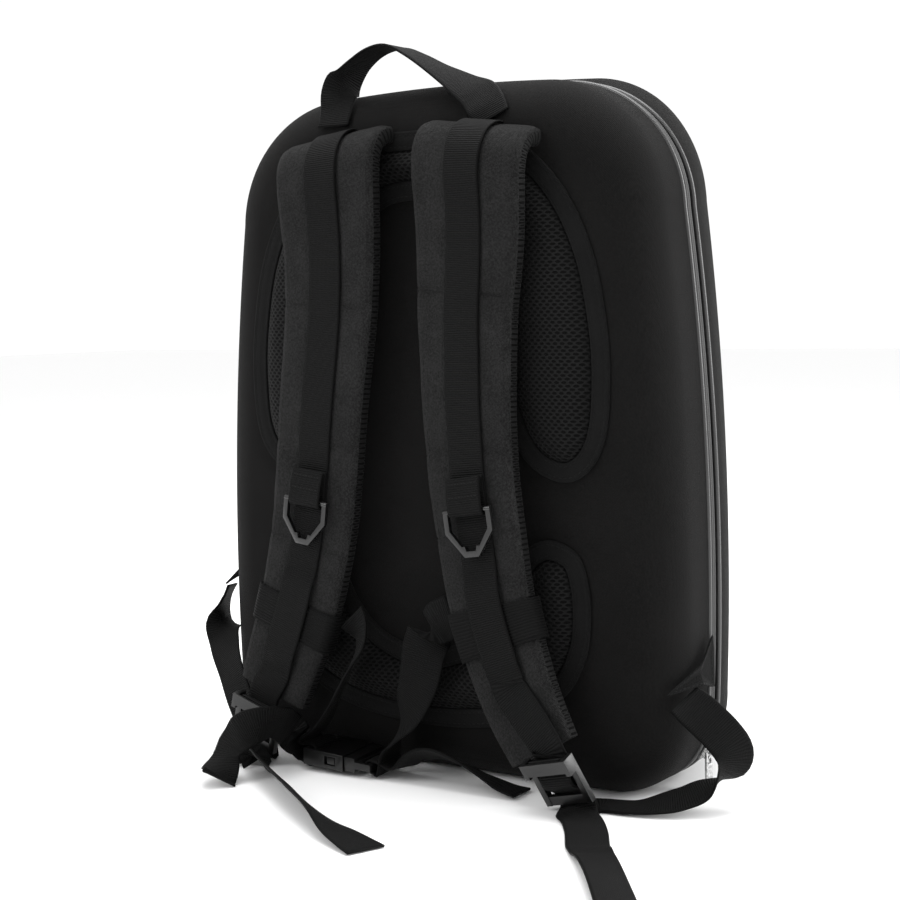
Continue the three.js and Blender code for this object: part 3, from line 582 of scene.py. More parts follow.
def outlineHalf():
    h, wb, wt = shell["height"], shell["halfBottom"], shell["halfTop"]
    rb, rt, arch = shell["cornerBottom"], shell["cornerTop"], shell["arch"]
    lean = atan2(wb - wt, h - rb - rt)
    rise = atan2(2 * arch, wt - rt)
    points = [(x, 0.0) for x in np.linspace(0, wb - rb, 12, endpoint=False)]
    for angle in np.linspace(-pi / 2, lean, 26):
        points.append((wb - rb + rb * cos(angle), rb + rb * sin(angle)))
    x0, z0 = points[-1]
    tx, tz = wt - rt, h - arch - rt
    x1, z1 = tx + rt * cos(lean), tz + rt * sin(lean)
    length = hypot(x1 - x0, z1 - z0)
    for t in np.linspace(0, 1, 26)[1:-1]:
        bow = shell["bulge"] * 4 * t * (1 - t)
        points.append((x0 + (x1 - x0) * t + bow * (z1 - z0) / length,
                       z0 + (z1 - z0) * t - bow * (x1 - x0) / length))
    for angle in np.linspace(lean, pi / 2 - rise, 34):
        points.append((tx + rt * cos(angle), tz + rt * sin(angle)))
    x2, z2 = points[-1]
    for t in np.linspace(0, 1, 10)[1:]:
        points.append((x2 * (1 - t), h - (h - z2) * (1 - t) ** 2))
    return points


def withNormals(points):
    points = np.array(points)
    delta = np.roll(points, -1, 0) - np.roll(points, 1, 0)
    length = np.hypot(delta[:, 0], delta[:, 1])
    return points, np.stack([delta[:, 1] / length, -delta[:, 0] / length], 1)


half = outlineHalf()
outline, outward = withNormals(half + [(-x, z) for x, z in half[1:-1]][::-1])
outlineRun = runLengths(outline)


def backInset(depth):
    t = max(0.0, depth - (shell["backDepth"] - shell["backFillet"])) / shell["backFillet"]
    drawn = max(0.0, depth - shell["backDepth"] / 2 + 2.5) * shell["draft"]
    return drawn + shell["backFillet"] * (1 - sqrt(max(0.0, 1 - min(1.0, t) ** 2)))


def backPoint(depth, wall):
    return outline - outward * (backInset(depth) + wall)


# Dome of the front shell: columns are depth past the zip, then draw-in of sides, top and bottom
domeRows = [
    (0, 0, 0, 0), (10, 1.2, -3.5, 0), (25, 6, -7, 0), (45, 15, -6, 0),
    (65, 26, 4, 1.5), (84, 41, 21, 8), (97, 58, 42, 19), (104, 80, 70, 42),
]
domeDense = through(domeRows, 8)


def frontPoint(depth, wall):
    side, top, bottom = (np.interp(depth, domeDense[:, 0], domeDense[:, k]) + wall for k in (1, 2, 3))
    h = shell["height"]
    return np.stack([outline[:, 0] * (1 - side / shell["halfBottom"]),
                     bottom + outline[:, 1] * (h - top - bottom) / h], 1)


# Triangles that fill a closed ring of (x, z), with inner points on a grid of that spacing
def fillRing(ring, spacing, margin=None, extra=()):
    ring = np.asarray(ring)
    low, high = ring.min(0), ring.max(0)
    grid = []
    row = 0
    for z in np.arange(low[1], high[1], spacing * 0.87):
        row += 1
        for x in np.arange(low[0] + (row % 2) * spacing / 2, high[0], spacing):
            grid.append((x, z))
    depths = insideDistance(np.array(grid), ring)
    inner = [p for p, d in zip(grid, depths) if d > (margin or spacing * 0.6)]
    every = [Vector(p) for p in ring] + [Vector(p) for p in list(extra) + inner]
    edges = [(i, (i + 1) % len(ring)) for i in range(len(ring))]
    verts, _, faces, *_ = delaunay_2d_cdt(every, edges, [], 1, 1e-6)
    return np.array([tuple(v) for v in verts]), faces


# Slow noise at each (x, z), with its own rate along both
def softNoise(points, across, up, seed):
    return np.array([noise.noise(Vector((x * across, z * up, seed))) for x, z in points])


# Distance from each point to a closed ring, positive inside it
def insideDistance(points, ring):
    x, z = points[:, 0], points[:, 1]
    best = np.full(len(points), 1e9)
    inside = np.zeros(len(points), dtype=bool)
    for (ax, az), (bx, bz) in zip(ring, np.roll(ring, -1, 0)):
        dx, dz = bx - ax, bz - az
        t = np.clip(((x - ax) * dx + (z - az) * dz) / max(1e-9, dx * dx + dz * dz), 0, 1)
        best = np.minimum(best, np.hypot(x - ax - dx * t, z - az - dz * t))
        if az != bz:
            crosses = (z > min(az, bz)) & (z <= max(az, bz))
            inside ^= crosses & (x < ax + (z - az) * dx / dz)
    return np.where(inside, best, -best)


# Pads: right half of each contour from its lowest or highest point on the centre line
padLook = {"edge": 12.0, "lift": 9.0, "edgeThick": 2.0, "stitchPitch": 3.6, "stitch": (2.7, 0.26)}
padHalves = {
    "upper_pad": [
        (0, 410), (40, 409), (70, 401), (93, 385), (112, 361), (126, 330), (133.5, 295), (136.4, 262),
        (134, 226),
        (125, 205), (109, 194), (90, 197), (74, 210), (62, 235), (55, 270), (50, 310), (42, 345),
        (25, 363), (0, 367),
    ],
    "lower_pad": [
        (0, 82), (15, 84.5), (35, 93), (52, 110), (64, 132), (76, 150), (89, 157.5), (102, 156.5),
        (114, 149),
        (120, 133), (121.5, 111), (118, 88), (104, 64), (75, 45), (40, 36), (0, 33.5),
    ],
}


def padContour(halfRows):
    rows = list(halfRows) + [(-x, z) for x, z in halfRows[1:-1]][::-1]
    points = through(rows, 8, closed=True)
    x, z = points.T
    area = float(np.sum(x * np.roll(z, -1) - np.roll(x, -1) * z))
    return points[::-1] if area < 0 else points


padContours = {name: padContour(rows) for name, rows in padHalves.items()}


# Depth rings of a tray, outer skin then inner skin, closed by a filled face at each end
def makeShell(name, node, pointAt, base, sign, depths, faceOut):
    wall = shell["wall"]
    rings = []
    last = depths[-1]
    for depth in depths:
        rings.append([(x, sign * (base + depth), z) for x, z in pointAt(depth, 0)])
    innerDepths = [d for d in depths if d < last - wall] + [last - wall]
    for depth in innerDepths[::-1]:
        rings.insert(0, [(x, sign * (base + depth), z) for x, z in pointAt(depth, wall)])
    count = len(outline)
    points = [p for ring in rings for p in ring]
    faces = ringFaces(len(rings), count)
    for index, depth, thick in ((0, last - wall, wall), (len(rings) - 1, last, 0)):
        ring = pointAt(depth, thick)
        flat, triangles = fillRing(ring, 9.0 if index == 0 else 4.5)
        start = len(points)
        lookup = {}
        for k, (x, z) in enumerate(flat):
            gap = np.hypot(ring[:, 0] - x, ring[:, 1] - z)
            nearest = int(np.argmin(gap))
            if gap[nearest] < 1e-3:
                lookup[k] = index * count + nearest
            else:
                lookup[k] = len(points)
                points.append((x, sign * (base + depth), z))
        made = np.array(points[start:])
        if index and len(made):
            shift = faceOut(made[:, [0, 2]], ring)
            for k, s in enumerate(shift):
                x, y, z = points[start + k]
                points[start + k] = (x, y + sign * s, z)
        for tri in triangles:
            tri = [lookup[k] for k in tri]
            faces.append(tuple(tri[::-1]) if index == 0 else tuple(tri))
    if sign < 0:
        faces = [f[::-1] for f in faces]
    piece = newPiece(name, points, [f[::-1] for f in faces], ["shell"])
    settle(piece, [node])


# The back panel sinks a little round each pad, where the border is pressed on
def panelRelief(points, ring):
    shift = np.zeros(len(points))
    edge = insideDistance(points, ring)
    for contour in padContours.values():
        d = insideDistance(points, contour)
        shift -= 0.9 * np.exp(-((d + 2.5) / 3.5) ** 2)
    wave = softNoise(points, 0.012, 0.012, 3.1)
    return (shift + wave * 0.5) * smoothStep(0, 14, edge)


def domeCrown(points, ring):
    edge = insideDistance(points, ring)
    return 3.0 * smoothStep(0, 70, edge)


def buildShells():
    fillet = [shell["backDepth"] - shell["backFillet"] * (1 - sin(radians(a)))
              for a in np.linspace(0, 90, 19)]
    backDepths = [shellEdge, shellEdge + 1.2, 14, 19, 25] + fillet
    makeShell("backShell", "back_shell", backPoint, 0, -1, backDepths, panelRelief)
    frontDepths = [0, 1.2] + [float(d) for d in domeDense[2::2, 0]]
    makeShell("frontShell", "front_shell", frontPoint, shellEdge, 1, frontDepths, domeCrown)
    print("shells done")


buildShells()


# A rim all round the outline: section rows are (y, height over the outline)
def rimPiece(name, nodes, section, look):
    count = len(section)
    points, strip = [], []
    for run, (x, z), (nx, nz) in zip(outlineRun, outline, outward):
        flush = 1 - float(smoothStep(0.5, 0.95, -nz))
        for y, height in section:
            out = height * flush if height > -1.2 else height
            points.append((x + nx * out, y, z + nz * out))
            strip.append((run, y, shell["zipHalf"]))
    faces = ringFaces(len(outline), count, looped=True)
    piece = newPiece(name, points, [f[::-1] for f in faces], [look], strip=strip)
    settle(piece, nodes)


def buildZip():
    z = shell["zipHalf"]
    halfTape = [(-z, -1.7), (-3.4, -1.5), (-2.6, -1.1), (-2.3, -0.5), (-1.7, 0.1), (-0.8, 0.25),
                (-0.35, 0.0)]
    mirrored = [(-y, height) for y, height in halfTape[::-1]]
    tape = halfTape + [(0, -0.7)] + mirrored + [(z, -2.8), (-z, -2.8)]
    rimPiece("zipTapes", ["zip_band"], tape, "zip")
    for side, name, node in ((-1, "backPiping", "back_piping"), (1, "frontPiping", "front_piping")):
        middle = pipingInner + shell["piping"] / 2
        r = shell["piping"] / 2
        arc = [(side * (middle - r * cos(a)), r * 1.1 * sin(a) - 0.3)
               for a in np.linspace(0, pi, 13)]
        section = arc + [(side * (middle + r), -3.0), (side * (middle - r), -3.0)]
        rimPiece(name, [node], section if side < 0 else section[::-1], "piping")
    print("zip and piping done")


buildZip()


# A pad: pressed border with two rows of stitches, and a puffed field of air mesh
def buildPad(name):
    contour = padContours[name]
    y0 = panelY - clearance
    points, normals = withNormals(contour)
    edge, thick = padLook["edge"], padLook["edgeThick"]
    profile = [
        (0.0, 0.0), (0.0, 0.9), (0.4, 1.5), (1.2, thick - 0.1), (2.6, thick - 0.45), (4.0, thick - 0.1),
        (7.0, thick), (9.4, thick - 0.5), (10.6, thick - 0.2), (edge - 0.3, thick - 0.1),
        (edge, 0.9), (edge, 0.0),
    ]
    verts, strip = [], []
    run = runLengths(contour)
    for length, p, n in zip(run, points, normals):
        for inset, lift in profile:
            q = p - n * inset
            verts.append((q[0], y0 - lift, q[1]))
            strip.append((length, inset, edge))
    faces = ringFaces(len(points), len(profile), looped=True)
    border = newPiece(name + "Border", verts, faces, ["border"], strip=strip)
    settle(border, [name + "_border"])

    inner = points - normals * (edge + clearance)
    fine = [tuple(p) for step in (1.2, 2.6, 4.5)
            for p in (points - normals * (edge + clearance + step))[::2]]
    flat, triangles = fillRing(inner, 3.2, margin=6.0, extra=fine)
    depth = insideDistance(flat, inner)
    puff = padLook["lift"] * (1 - np.exp(-np.clip(depth, 0, None) / 5.5)) * 1.06
    ripple = softNoise(flat, 0.045, 0.03, 7.0)
    pucker = softNoise(flat, 0.16, 0.16, 1.0)
    near = np.exp(-((depth - 4) / 4.0) ** 2)
    height = puff + ripple * 1.2 * smoothStep(2, 12, depth) + pucker * 0.8 * near
    height = np.clip(height, 0.9, padLook["lift"] + 1.5)
    front = [(x, y0 - h, z) for (x, z), h in zip(flat, height)]
    back = [(x, y0, z) for x, z in flat]
    total = len(front)
    faces = [tuple(t) for t in triangles] + [tuple(total + k for k in t[::-1]) for t in triangles]
    rim = [int(np.argmin(np.hypot(flat[:, 0] - x, flat[:, 1] - z))) for x, z in inner]
    for a, b in zip(rim, rim[1:] + rim[:1]):
        faces.append((b, a, total + a, total + b))
    field = newPiece(name + "Field", front + back, faces, ["padMesh"])
    settle(field, [name + "_mesh"])
    rows = []
    for inset, lift in ((2.6, thick - 0.35), (9.6, thick - 0.4)):
        line = points - normals * inset
        line = np.vstack([line, line[:1]])
        at = [(x, y0 - lift, z) for x, z in line]
        rows += alongLine(at, [(0, -1, 0)] * len(at), padLook["stitchPitch"])
    stitches(name + "Stitches", rows, *padLook["stitch"])


for padName in padContours:
    buildPad(padName)
print("pads done")

# Shoulder straps: columns are x, y, z, tip of the direction across (1, 0, tip), width
strapLook = {"thick": 13.0, "seam": 1.6, "edgeStitch": 4.5, "stitchPitch": 3.8, "stitch": (2.8, 0.2)}
foldRows = [
    (53.5, -63.6, 403.3, -0.12, 80), (53.5, -68.5, 403.3, -0.12, 80), (53.3, -75.5, 400, -0.12, 79.5),
    (53.2, -80.7, 391.5, -0.12, 79), (53, -82.3, 379, -0.08, 78),
]
strapRows = {
    "right": [
        (53, -81.5, 362, -0.02, 76.5), (52, -80, 334, 0, 74), (49.6, -79.6, 299, 0, 70),
        (50, -80.6, 272, 0, 67.5), (50.6, -81.5, 244, 0, 65.5), (52, -82, 220, 0.06, 64),
        (54.2, -82.6, 194, 0.1, 63), (59.2, -83, 160, 0.16, 62), (66, -83.6, 122, 0.25, 60),
        (75.5, -84.5, 93, 0.36, 57.5), (88.5, -85.6, 62, 0.45, 54), (104, -86.6, 35, 0.55, 49),
    ],
    "left": [
        (-52.8, -81.5, 362, 0.02, 76.5), (-52.8, -80, 334, 0, 73), (-54.5, -79.6, 299, -0.04, 70.5),
        (-57, -80.6, 272, -0.08, 69), (-60.2, -81.5, 244, -0.1, 68), (-62.6, -82, 220, -0.1, 67.5),
        (-65, -82.6, 194, -0.12, 67), (-69.4, -83, 160, -0.18, 66), (-78, -83.6, 122, -0.27, 64),
        (-87.5, -84.5, 92, -0.34, 61.5), (-97, -85.6, 66, -0.34, 58), (-103, -86.6, 49, -0.32, 55),
    ],
}
bandAt = {"right": 106, "left": 100}
ringAt = 178
creases = {"right": (308, 212, 163), "left": (302, 214, 150)}


# Strap section: cloth face that swells beside the webbing, mesh sides and underside
def strapSection(side):
    def section(stop):
        half = stop.width / 2
        t = strapLook["thick"] / 2
        z = stop.centre[2]
        pinch = sum(exp(-((z - c) / 2.6) ** 2) for c in creases[side])
        bulge = 0.35 * noise.noise(Vector((stop.along * 0.03, 5.0 if side == "left" else 1.0, 0)))
        held = exp(-((z - bandAt[side]) / 17) ** 4)
        ring = []
        for s in np.linspace(-1, 1, 23):
            u = s * (half - strapLook["seam"])
            bed = 1 - float(smoothStep(11.5, 15.5, abs(u)))
            drop = float(smoothStep(half - 9, half, abs(u)))
            dimple = noise.noise(Vector((stop.along * 0.07, s * 2.2, 2.0 + (side == "left") * 9)))
            swell = (0.35 + bulge * 0.5 + dimple * 0.35) * (1 - bed) * (1 - held)
            n = t + swell - 0.3 * bed - 1.7 * drop ** 2 - pinch * 1.5 * (1 - bed) * (1 - held)
            ring.append((u, n, 0))
        edge = [(half - 3.4 + 3.4 * cos(a), 0.4 + (t - 1.1) * sin(a), 1)
                for a in np.linspace(0.22 * pi, -0.5 * pi, 9)]
        under = [(s * (half - 3.4), -t + 0.7 - 0.3 * (1 - s * s) * (1 - held), 1)
                 for s in np.linspace(1, -1, 9)[1:-1]]
        return ring + edge + under + [(-u, n, look) for u, n, look in edge[::-1]]
    return section


lockFrames = {
    "right": ((119, -95.5, 21), (0.98, -0.1, 0.08), (0.3, 0.35, -0.89)),
    "left": ((-112.5, -95.5, 28), (0.97, 0, -0.24), (-0.3, 0.12, -0.95)),
}


# Local frame of a hard piece: origin, across (u), down (v) and out of the face (n)
class Holder:
    def __init__(self, origin, across, down):
        self.origin = floats(origin)
        self.v = unit(floats(down))
        across = floats(across)
        self.u = unit(across - self.v * float(np.dot(across, self.v)))
        self.n = np.cross(self.v, self.u)

    def at(self, u, v, n):
        return self.origin + self.u * u + self.v * v + self.n * n

    def row(self, v, n, u=0, sign=1):
        return tuple(self.at(u, v, n)) + tuple(self.u * sign)


locks = {side: Holder(*lockFrames[side]) for side in lockFrames}


def nearest(stops, z):
    return min(stops, key=lambda stop: abs(stop.centre[2] - z))


def shifted(stop, out, width):
    return Stop(stop.centre + stop.face * out, stop.travel, stop.across, width, stop.along)


def asRows(stops):
    return [tuple(s.centre) + tuple(s.across) + (s.width,) for s in stops]


# The fold at the top is the same on both sides, mirrored; the rest hangs by itself
def strapWay(side):
    turn = 1 if side == "right" else -1
    fold = [(x * turn, y, z, tip * turn, width) for x, y, z, tip, width in foldRows]
    return [(x, y, z, 1, 0, tip, width) for x, y, z, tip, width in fold + strapRows[side]]


def buildStrap(side):
    stops = route(strapWay(side), 26)
    strap = sweep("shoulderStrap" + side.title(), resample(stops, 1.9), strapSection(side),
                  ["strap", "strapMesh"])
    settle(strap, ["strap_" + side])
    t = strapLook["thick"] / 2
    rows = []
    for edge in (-1, 1):
        line = [s.at(edge * (s.width / 2 - strapLook["edgeStitch"]), t - 0.15) for s in stops[60:-6:3]]
        rows += alongLine(line, [s.face for s in stops[60:-6:3]], strapLook["stitchPitch"])
    for c in creases[side][:1]:
        s = nearest(stops, c)
        line = [s.at(u, t - 0.7) for u in np.linspace(-s.width / 2 + 5, s.width / 2 - 5, 20)]
        rows += alongLine(line, [s.face] * 20, 3.4)
    stitches("strapStitches" + side.title(), rows, *strapLook["stitch"])

    # chest band: an elastic sleeve round the strap, ribs running along its own length
    sleeve = [s for s in stops if abs(s.centre[2] - nearest(stops, bandAt[side]).centre[2]) < 13.5]
    points, strip = [], []
    layers = ((clearance + webThick, 1), (clearance, -1))
    loops = []
    for thick, turn in layers:
        for s in (sleeve[::3] if turn == 1 else sleeve[::3][::-1]):
            w, tt, r = s.width / 2 + thick, t + thick, 5 + thick * 0.6
            ring = []
            for q in range(4):
                for a in np.linspace(2, 88, 7):
                    angle = radians(q * 90 + a)
                    cu = (1 if q in (0, 3) else -1) * (w - r)
                    cn = (1 if q < 2 else -1) * (tt - r)
                    ring.append((cu + r * cos(angle), cn + r * sin(angle)))
            loops.append((s, ring))
    for s, ring in loops:
        run = 0.0
        before = ring[0]
        for u, n in ring:
            run += hypot(u - before[0], n - before[1])
            before = (u, n)
            points.append(tuple(s.at(u, n)))
            strip.append((s.along, run * 0.001, 400))
    faces = ringFaces(len(loops), 28, looped=True)
    band = newPiece("chestBand" + side.title(), points, faces, ["band"], strip=strip)
    settle(band, ["chest_band_" + side])

    # centre webbing: over the fold, down the strap, over the band, round the top bar of the lock
    faceAt = t + clearance + webThick / 2
    lock = locks[side]

    def over(s):
        z = s.centre[2]
        overBand = (webThick + clearance + 0.2) * float(smoothStep(24, 34, 58 - abs(z - bandAt[side])))
        fold = 0.8 * float(smoothStep(350, 380, z))
        return shifted(s, faceAt + overBand + fold, webWidth)
    top = [over(s) for s in stops if s.centre[2] > bandAt[side] - 40]
    around = ((-9, -3.6), (-1, -3.5), (2.4, -2.5), (3.5, 0), (2.4, 2.5), (0, 3.4), (-4, 3.7))
    rows = asRows(top[::6]) + [lock.row(-13.25 + v, n) + (webWidth,) for v, n in around]
    webbing("strapWebbing" + side.title(), rows, ["strap_webbing_" + side], steps=6, ripple=0.12)

    # ring loop
    s = nearest(stops, ringAt)
    reach = 3.4 / 2 + clearance + webThick / 2
    base = faceAt + webThick / 2 + clearance + webThick / 2
    ring = Holder(s.centre + s.face * (base + reach), s.across, s.travel)
    path = ((-20, -reach), (-10, -reach), (-0.6, -reach), (reach * 0.75, -reach * 0.72), (reach, 0),
            (reach * 0.75, reach * 0.72), (-0.6, reach), (-10, reach - 0.6), (-20, reach - 2.6))
    webbing("ringLoop" + side.title(), [ring.row(v, n) for v, n in path], ["ring_loop_" + side],
            steps=8, spacing=0.9, ripple=0.0)
    rows = []
    for v, n in ((-8.5, reach + 0.35), (-16.5, reach - 1.0)):
        line = [ring.at(u, v, n) for u in np.linspace(-10.5, 10.5, 12)]
        rows += alongLine(line, [ring.n] * 12, 2.3)
    stitches("ringLoopStitches" + side.title(), rows, 1.9, 0.26)


for sideName in ("right", "left"):
    buildStrap(sideName)
print("shoulder straps done")

# Grab handle, from its left foot over the top to its right foot
handleRows = [
    (-64, -61, 417, 1, 0, 0), (-64, -58.4, 423, 1, 0, 0), (-65, -54.5, 430.5, 1, 0.1, 0),
    (-66, -50, 440, 0.85, 0.5, 0), (-63, -46, 448, 0.4, 0.9, 0), (-54, -45, 457, 0.1, 1, 0),
    (-40, -45, 464.3, 0, 1, 0), (-25, -45, 465.6, 0, 1, 0), (-10, -45, 459.2, 0.05, 1, 0.05),
    (7, -45.5, 449.5, 0.2, 0.95, 0.1), (26, -48, 439, 0.4, 0.85, 0.3),
    (42, -53.5, 430.5, 0.66, 0.54, 0.48),
    (51.5, -59, 422, 0.8, 0.36, 0.42), (57, -61.6, 413, 0.92, 0.14, 0.3),
]
webbing("grabHandle", handleRows, ["grab_handle"], ripple=0.15)


def throughLock(lock, sign):
    path = ((15, -6.6), (7, -5.4), (-1.6, -5), (-5.2, -3.6), (-6.5, -0.9), (-5.2, 1.9), (-1.6, 3),
            (1.9, 2.9), (5, 0), (8.1, -2.9), (12, -3.1), (17, -3.2))
    return [lock.row(v, n, sign=sign) for v, n in path]


lowerRows = {
    "right": [
        (174.5, -44.8, 66, 0.5, 0.75, 0.22), (186, -43.5, 57.5, 0.62, 0.6, 0.42),
        (198.5, -42, 46.5, 0.62, 0.62, 0.42), (205, -41, 37, 0.6, 0.72, 0.32),
        (203.5, -42, 27, 0.52, 0.82, 0.22), (193, -47, 17, 0.3, 0.82, 0.45),
        (180, -55, 10, 0.1, 0.88, 0.4), (165, -61.5, 5.5, 0, 0.95, 0.25), (151, -65, 2.6, 0, 1, 0.06),
        (137.5, -66, 1.6, 0, 1, 0), (130.5, -68, 1.6, -0.5, 0.87, 0), (126, -72.5, 1.6, -0.87, 0.5, 0),
        (124.2, -79, 2.4, -1, 0.05, 0), *throughLock(locks["right"], -1),
        (125.5, -88.5, 4.2, -0.97, 0.1, -0.15), (129, -93.5, 2.2, -0.95, -0.2, -0.02),
        (137, -101.5, 1.5, -0.92, -0.35, 0), (149, -118, 1.3, -0.92, -0.38, 0),
        (161, -138, 1.3, -0.9, -0.42, 0),
        (167, -146, 2, -0.86, -0.5, 0), (182, -164, 1.3, -0.8, -0.55, 0.2),
        (204, -193, 1.3, -0.8, -0.5, 0.28),
        (226, -223, 1.3, -0.8, -0.52, 0.24),
    ],
    "left": [
        (-182, -37, 107, -0.3, 0.92, 0.2), (-185.5, -40, 97, -0.35, 0.9, 0.25),
        (-185, -44, 87, -0.3, 0.9, 0.3), (-180, -50, 78, 0, 0.8, 0.6), (-170, -60, 68, 0.35, 0.5, 0.8),
        (-158, -69, 55, 0.6, 0.1, 0.75), (-147, -74, 39, 0.8, 0, 0.6), (-136, -76, 21, 0.88, 0, 0.46),
        (-127, -78, 7.5, 0.96, 0, 0.2), (-121.5, -82.5, 3.6, 0.97, 0, -0.05),
        *throughLock(locks["left"], 1),
        (-117, -92.6, 5.6, 0.93, -0.1, -0.2), (-113, -99.5, 5.4, 0.6, -0.65, 0.25),
        (-104, -108, 9.9, 0, -0.65, 0.75), (-70, -132, 10, -0.39, -0.57, 0.72),
        (-22, -166, 9.6, -0.39, -0.57, 0.7), (10, -185, 7.8, -0.4, -0.65, 0.55),
        (34, -197, 4, -0.45, -0.85, 0.2), (60, -208, 1.6, -0.42, -0.9, 0.02),
    ],
}
for sideName, wayRows in lowerRows.items():
    webbing("lowerStrap" + sideName.title(), wayRows, ["lower_strap_" + sideName], steps=8, ripple=0.12)
print("handle and lower straps done")

# Chest straps: their rows across the buckle follow its own frame
buckle = Holder((-50, -75.5, 9.5), (1, 0, -0.04), (0, 1, 0.05))


def crossRows(*places):
    return [tuple(buckle.at(u, 0, n)) + tuple(-buckle.v) for u, n in places]


chestWidth = 24
chestRows = {
    "left": [
        (-42.5, -82, 103, 0.5, 0, 0.7), (-37, -82.5, 96, 0.65, -0.3, 0.5),
        (-35.5, -83.5, 86, 0.7, -0.6, 0.2),
        (-43, -84.5, 70, 0.5, -0.8, 0.1), (-56, -84, 48, 0.4, -0.9, 0), (-69, -80, 31, 0.2, -1, 0),
        (-79.5, -77.5, 22, 0, -1, 0), (-83, -76.5, 18.6, 0, -1, 0), (-81.7, -76, 16.4, 0, -1, 0),
        *crossRows((-28, -6.6), (-23.6, -6.6), (-21.2, -4.4), (-20.7, 0), (-21.2, 4.4), (-23.6, 6.6),
                   (-28, 7.2)),
        (-87, -76.5, 6, 0, -0.98, 0.2), (-90.5, -81, 16, 0.05, -0.9, 0.43),
        (-87.5, -93, 26.5, 0.3, -0.65, 0.7),
        (-83, -109, 35, 0.4, -0.25, 0.88),
        (-88, -122, 35.5, 0.1, -0.1, 1), (-97, -128, 31, -0.1, 0.1, 1),
        (-103.5, -131, 23, -0.4, 0.4, 0.8), (-105, -137, 15, -0.6, 0.6, 0.5),
        (-101.5, -146, 9, -0.7, 0.5, 0.45), (-96, -153, 6, -0.75, 0.4, 0.45),
    ],
    "right": [
        (34, -79, 110, 0.05, 0.1, 1, 27), (22, -79.5, 103, 0.35, 0.1, 0.93, 29),
        (13, -80, 88, 0.8, 0.1, 0.6, 30),
        (8, -80, 68, 0.98, 0, 0.2, 30), (-1, -79.5, 46, 0.9, -0.3, 0.1, 28),
        (-10, -78.5, 30, 0.5, -0.85, 0, 25),
        (-17.5, -77, 18.5, 0.1, -1, 0, 24),
        *crossRows((28.6, 4.6), (25, 3.8), (21.6, 3.4), (19.4, 0), (21.6, -3.4), (25, -3.8), (30, -3)),
        (-10, -75.6, 7.5, 0, -1, 0.1), (2, -76.5, 15.5, 0, -0.9, 0.35), (16, -77.5, 20, 0, -0.87, 0.45),
        (32, -77, 18, 0, -0.87, 0.45), (50, -75, 11, 0, -0.9, 0.35), (66, -73, 4.6, 0, -0.97, 0.15),
        (78, -72, 2.4, 0, -1, 0.05),
    ],
}
for sideName, wayRows in chestRows.items():
    webbing("chestStrap" + sideName.title(), wayRows, ["chest_strap_" + sideName], steps=8,
            width=chestWidth, ripple=0.12)
print("chest straps done")


# A moulded piece: the frame's solid with its edges rounded over
def moulded(name, node, radius, look, body="pack"):
    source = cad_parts[node]
    mesh = source.data.copy()
    mesh.name = name
    mesh.materials.clear()
    mesh.materials.append(finishes[look])
    piece = addObject(name, mesh)
    bpy.context.view_layer.objects.active = piece
    for kind, settings in (
        ("WELD", {"merge_threshold": 1e-6}),
        ("DECIMATE", {"decimate_type": "DISSOLVE", "angle_limit": radians(2)}),
        ("BEVEL", {"width": radius * mm, "segments": 3, "limit_method": "ANGLE",
                   "angle_limit": radians(28),
                   "use_clamp_overlap": True, "harden_normals": False}),
        ("TRIANGULATE", {}),
    ):
        modifier = piece.modifiers.new(kind.lower(), kind)
        for key, value in settings.items():
            setattr(modifier, key, value)
    depsgraph = bpy.context.evaluated_depsgraph_get()
    made = bpy.data.meshes.new_from_object(piece.evaluated_get(depsgraph))
    piece.modifiers.clear()
    piece.data = made
    made.polygons.foreach_set("use_smooth", [True] * len(made.polygons))
    made.set_sharp_from_angle(angle=radians(40))
    settle(piece, [node], body)


for sideName in ("right", "left"):
    ringNode = "ring_" + sideName
    moulded("ring" + sideName.title(), ringNode, 0.8, "ringPlastic", ringNode)
    moulded("ladderLock" + sideName.title(), "ladder_lock_" + sideName, 1.1, "plastic")
moulded("buckleFemale", "buckle_female", 1.9, "plastic")
moulded("buckleMale", "buckle_male", 1.1, "plastic")
moulded("zipSlider", "zip_slider", 0.5, "metal")
moulded("zipPull", "zip_pull", 0.5, "metal", "zip_pull")
print("hard pieces done")

# Side ears: folded triangles of the pad borders' cloth with a raised hem
earCorners = {
    "right": [(177.6, -11, 99), (179.2, -30, 85), (169.4, -56, 69.7),
              (181, -32, 72.8), (178.6, -11.5, 68)],
    "left": [(-177.2, -11, 128), (-178.4, -11.5, 104), (-186.4, -25, 114), (-178.6, -48, 109.2),
             (-177.6, -30, 120)],
}


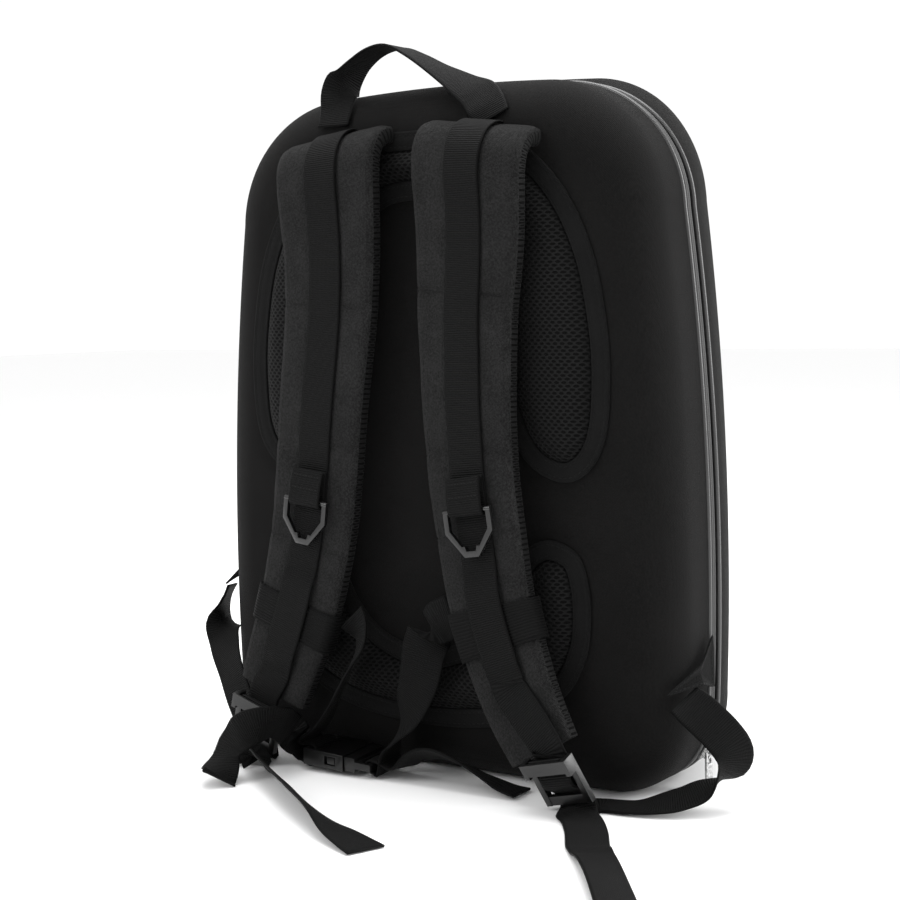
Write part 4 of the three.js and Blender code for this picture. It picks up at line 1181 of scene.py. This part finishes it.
def buildEar(side):
    corners = floats(earCorners[side])
    middle = corners.mean(0)
    normal = np.zeros(3)
    for i in range(1, len(corners) - 1):
        normal += np.cross(corners[i] - corners[0], corners[i + 1] - corners[0])
    normal = unit(normal)
    rim = through([tuple(c) for c in corners], 10, closed=True)
    sharp = np.array([a * (1 - k / 10) + b * (k / 10)
                      for a, b in zip(corners, np.roll(corners, -1, 0)) for k in range(10)])
    rim = sharp * 0.75 + rim * 0.25
    layers = ((1.0, 0.0), (1.0, 0.5), (0.965, 0.78), (0.9, 0.72), (0.86, 0.5), (0.5, 0.55), (0.15, 0.6))
    rings = [middle + (rim - middle) * s - normal * h for s, h in layers[::-1]]
    rings += [middle + (rim - middle) * s + normal * h for s, h in layers[1:]]
    points = [tuple(p) for ring in rings for p in ring]
    faces = ringFaces(len(rings), len(rim))
    for start, flip in ((0, True), ((len(rings) - 1) * len(rim), False)):
        loop = tuple(range(start, start + len(rim)))
        faces.append(loop[::-1] if flip else loop)
    ear = newPiece("sideEar" + side.title(), points, faces, ["border"])
    settle(ear, ["side_ear_" + side])
    line = middle + (rim - middle) * 0.82
    rows = alongLine([tuple(p + normal * 0.6) for p in line], [normal] * len(line), 3.2)
    stitches("earStitches" + side.title(), rows, 2.4, 0.26)


for sideName in earCorners:
    buildEar(sideName)
print("ears done")

# Pale floor and soft studio light
studio = {
    "floor": 0.93, "floorHalf": 9.0, "world": 1.04,
    # name: place, size, power, aim, in metres and watts
    "lamps": {
        "key": ((-0.9, -1.8, 1.5), (1.1, 1.1), 16, (0, -0.05, 0.22)),
        "rim": ((1.7, 1.1, 1.0), (0.9, 1.6), 42, (0.1, 0.05, 0.25)),
        "top": ((0.0, 0.1, 1.9), (1.4, 1.4), 30, (0, 0, 0.3)),
    },
}


def lamp(name, place, size, power, aim):
    data = bpy.data.lights.new(name, "AREA")
    data.shape = "RECTANGLE"
    data.size, data.size_y = size
    data.energy = power
    light = addObject(name, data)
    light.location = place
    light.rotation_euler = (Vector(aim) - Vector(place)).to_track_quat("-Z", "Y").to_euler()


def buildStudio():
    board = Board("floorPaint")
    low, high = ((studio["floor"] + step,) * 3 + (1.0,) for step in (-0.01, 0.01))
    board.finish(board.blendColour(board.grain(0.02, 3.0), low, high), 0.9)
    mesh = bpy.data.meshes.new("floor")
    r = studio["floorHalf"]
    mesh.from_pydata([(-r, -r, 0), (r, -r, 0), (r, r, 0), (-r, r, 0)], [], [(0, 1, 2, 3)])
    mesh.materials.append(board.material)
    addObject("floor", mesh)
    world = bpy.data.worlds.new("studio")
    world.use_nodes = True
    background = world.node_tree.nodes["Background"]
    background.inputs[0].default_value = (1, 1, 1, 1)
    background.inputs[1].default_value = studio["world"]
    scene.world = world
    for name, values in studio["lamps"].items():
        lamp(name, *values)


buildStudio()
scene.view_settings.view_transform = "Standard"
print("studio done")
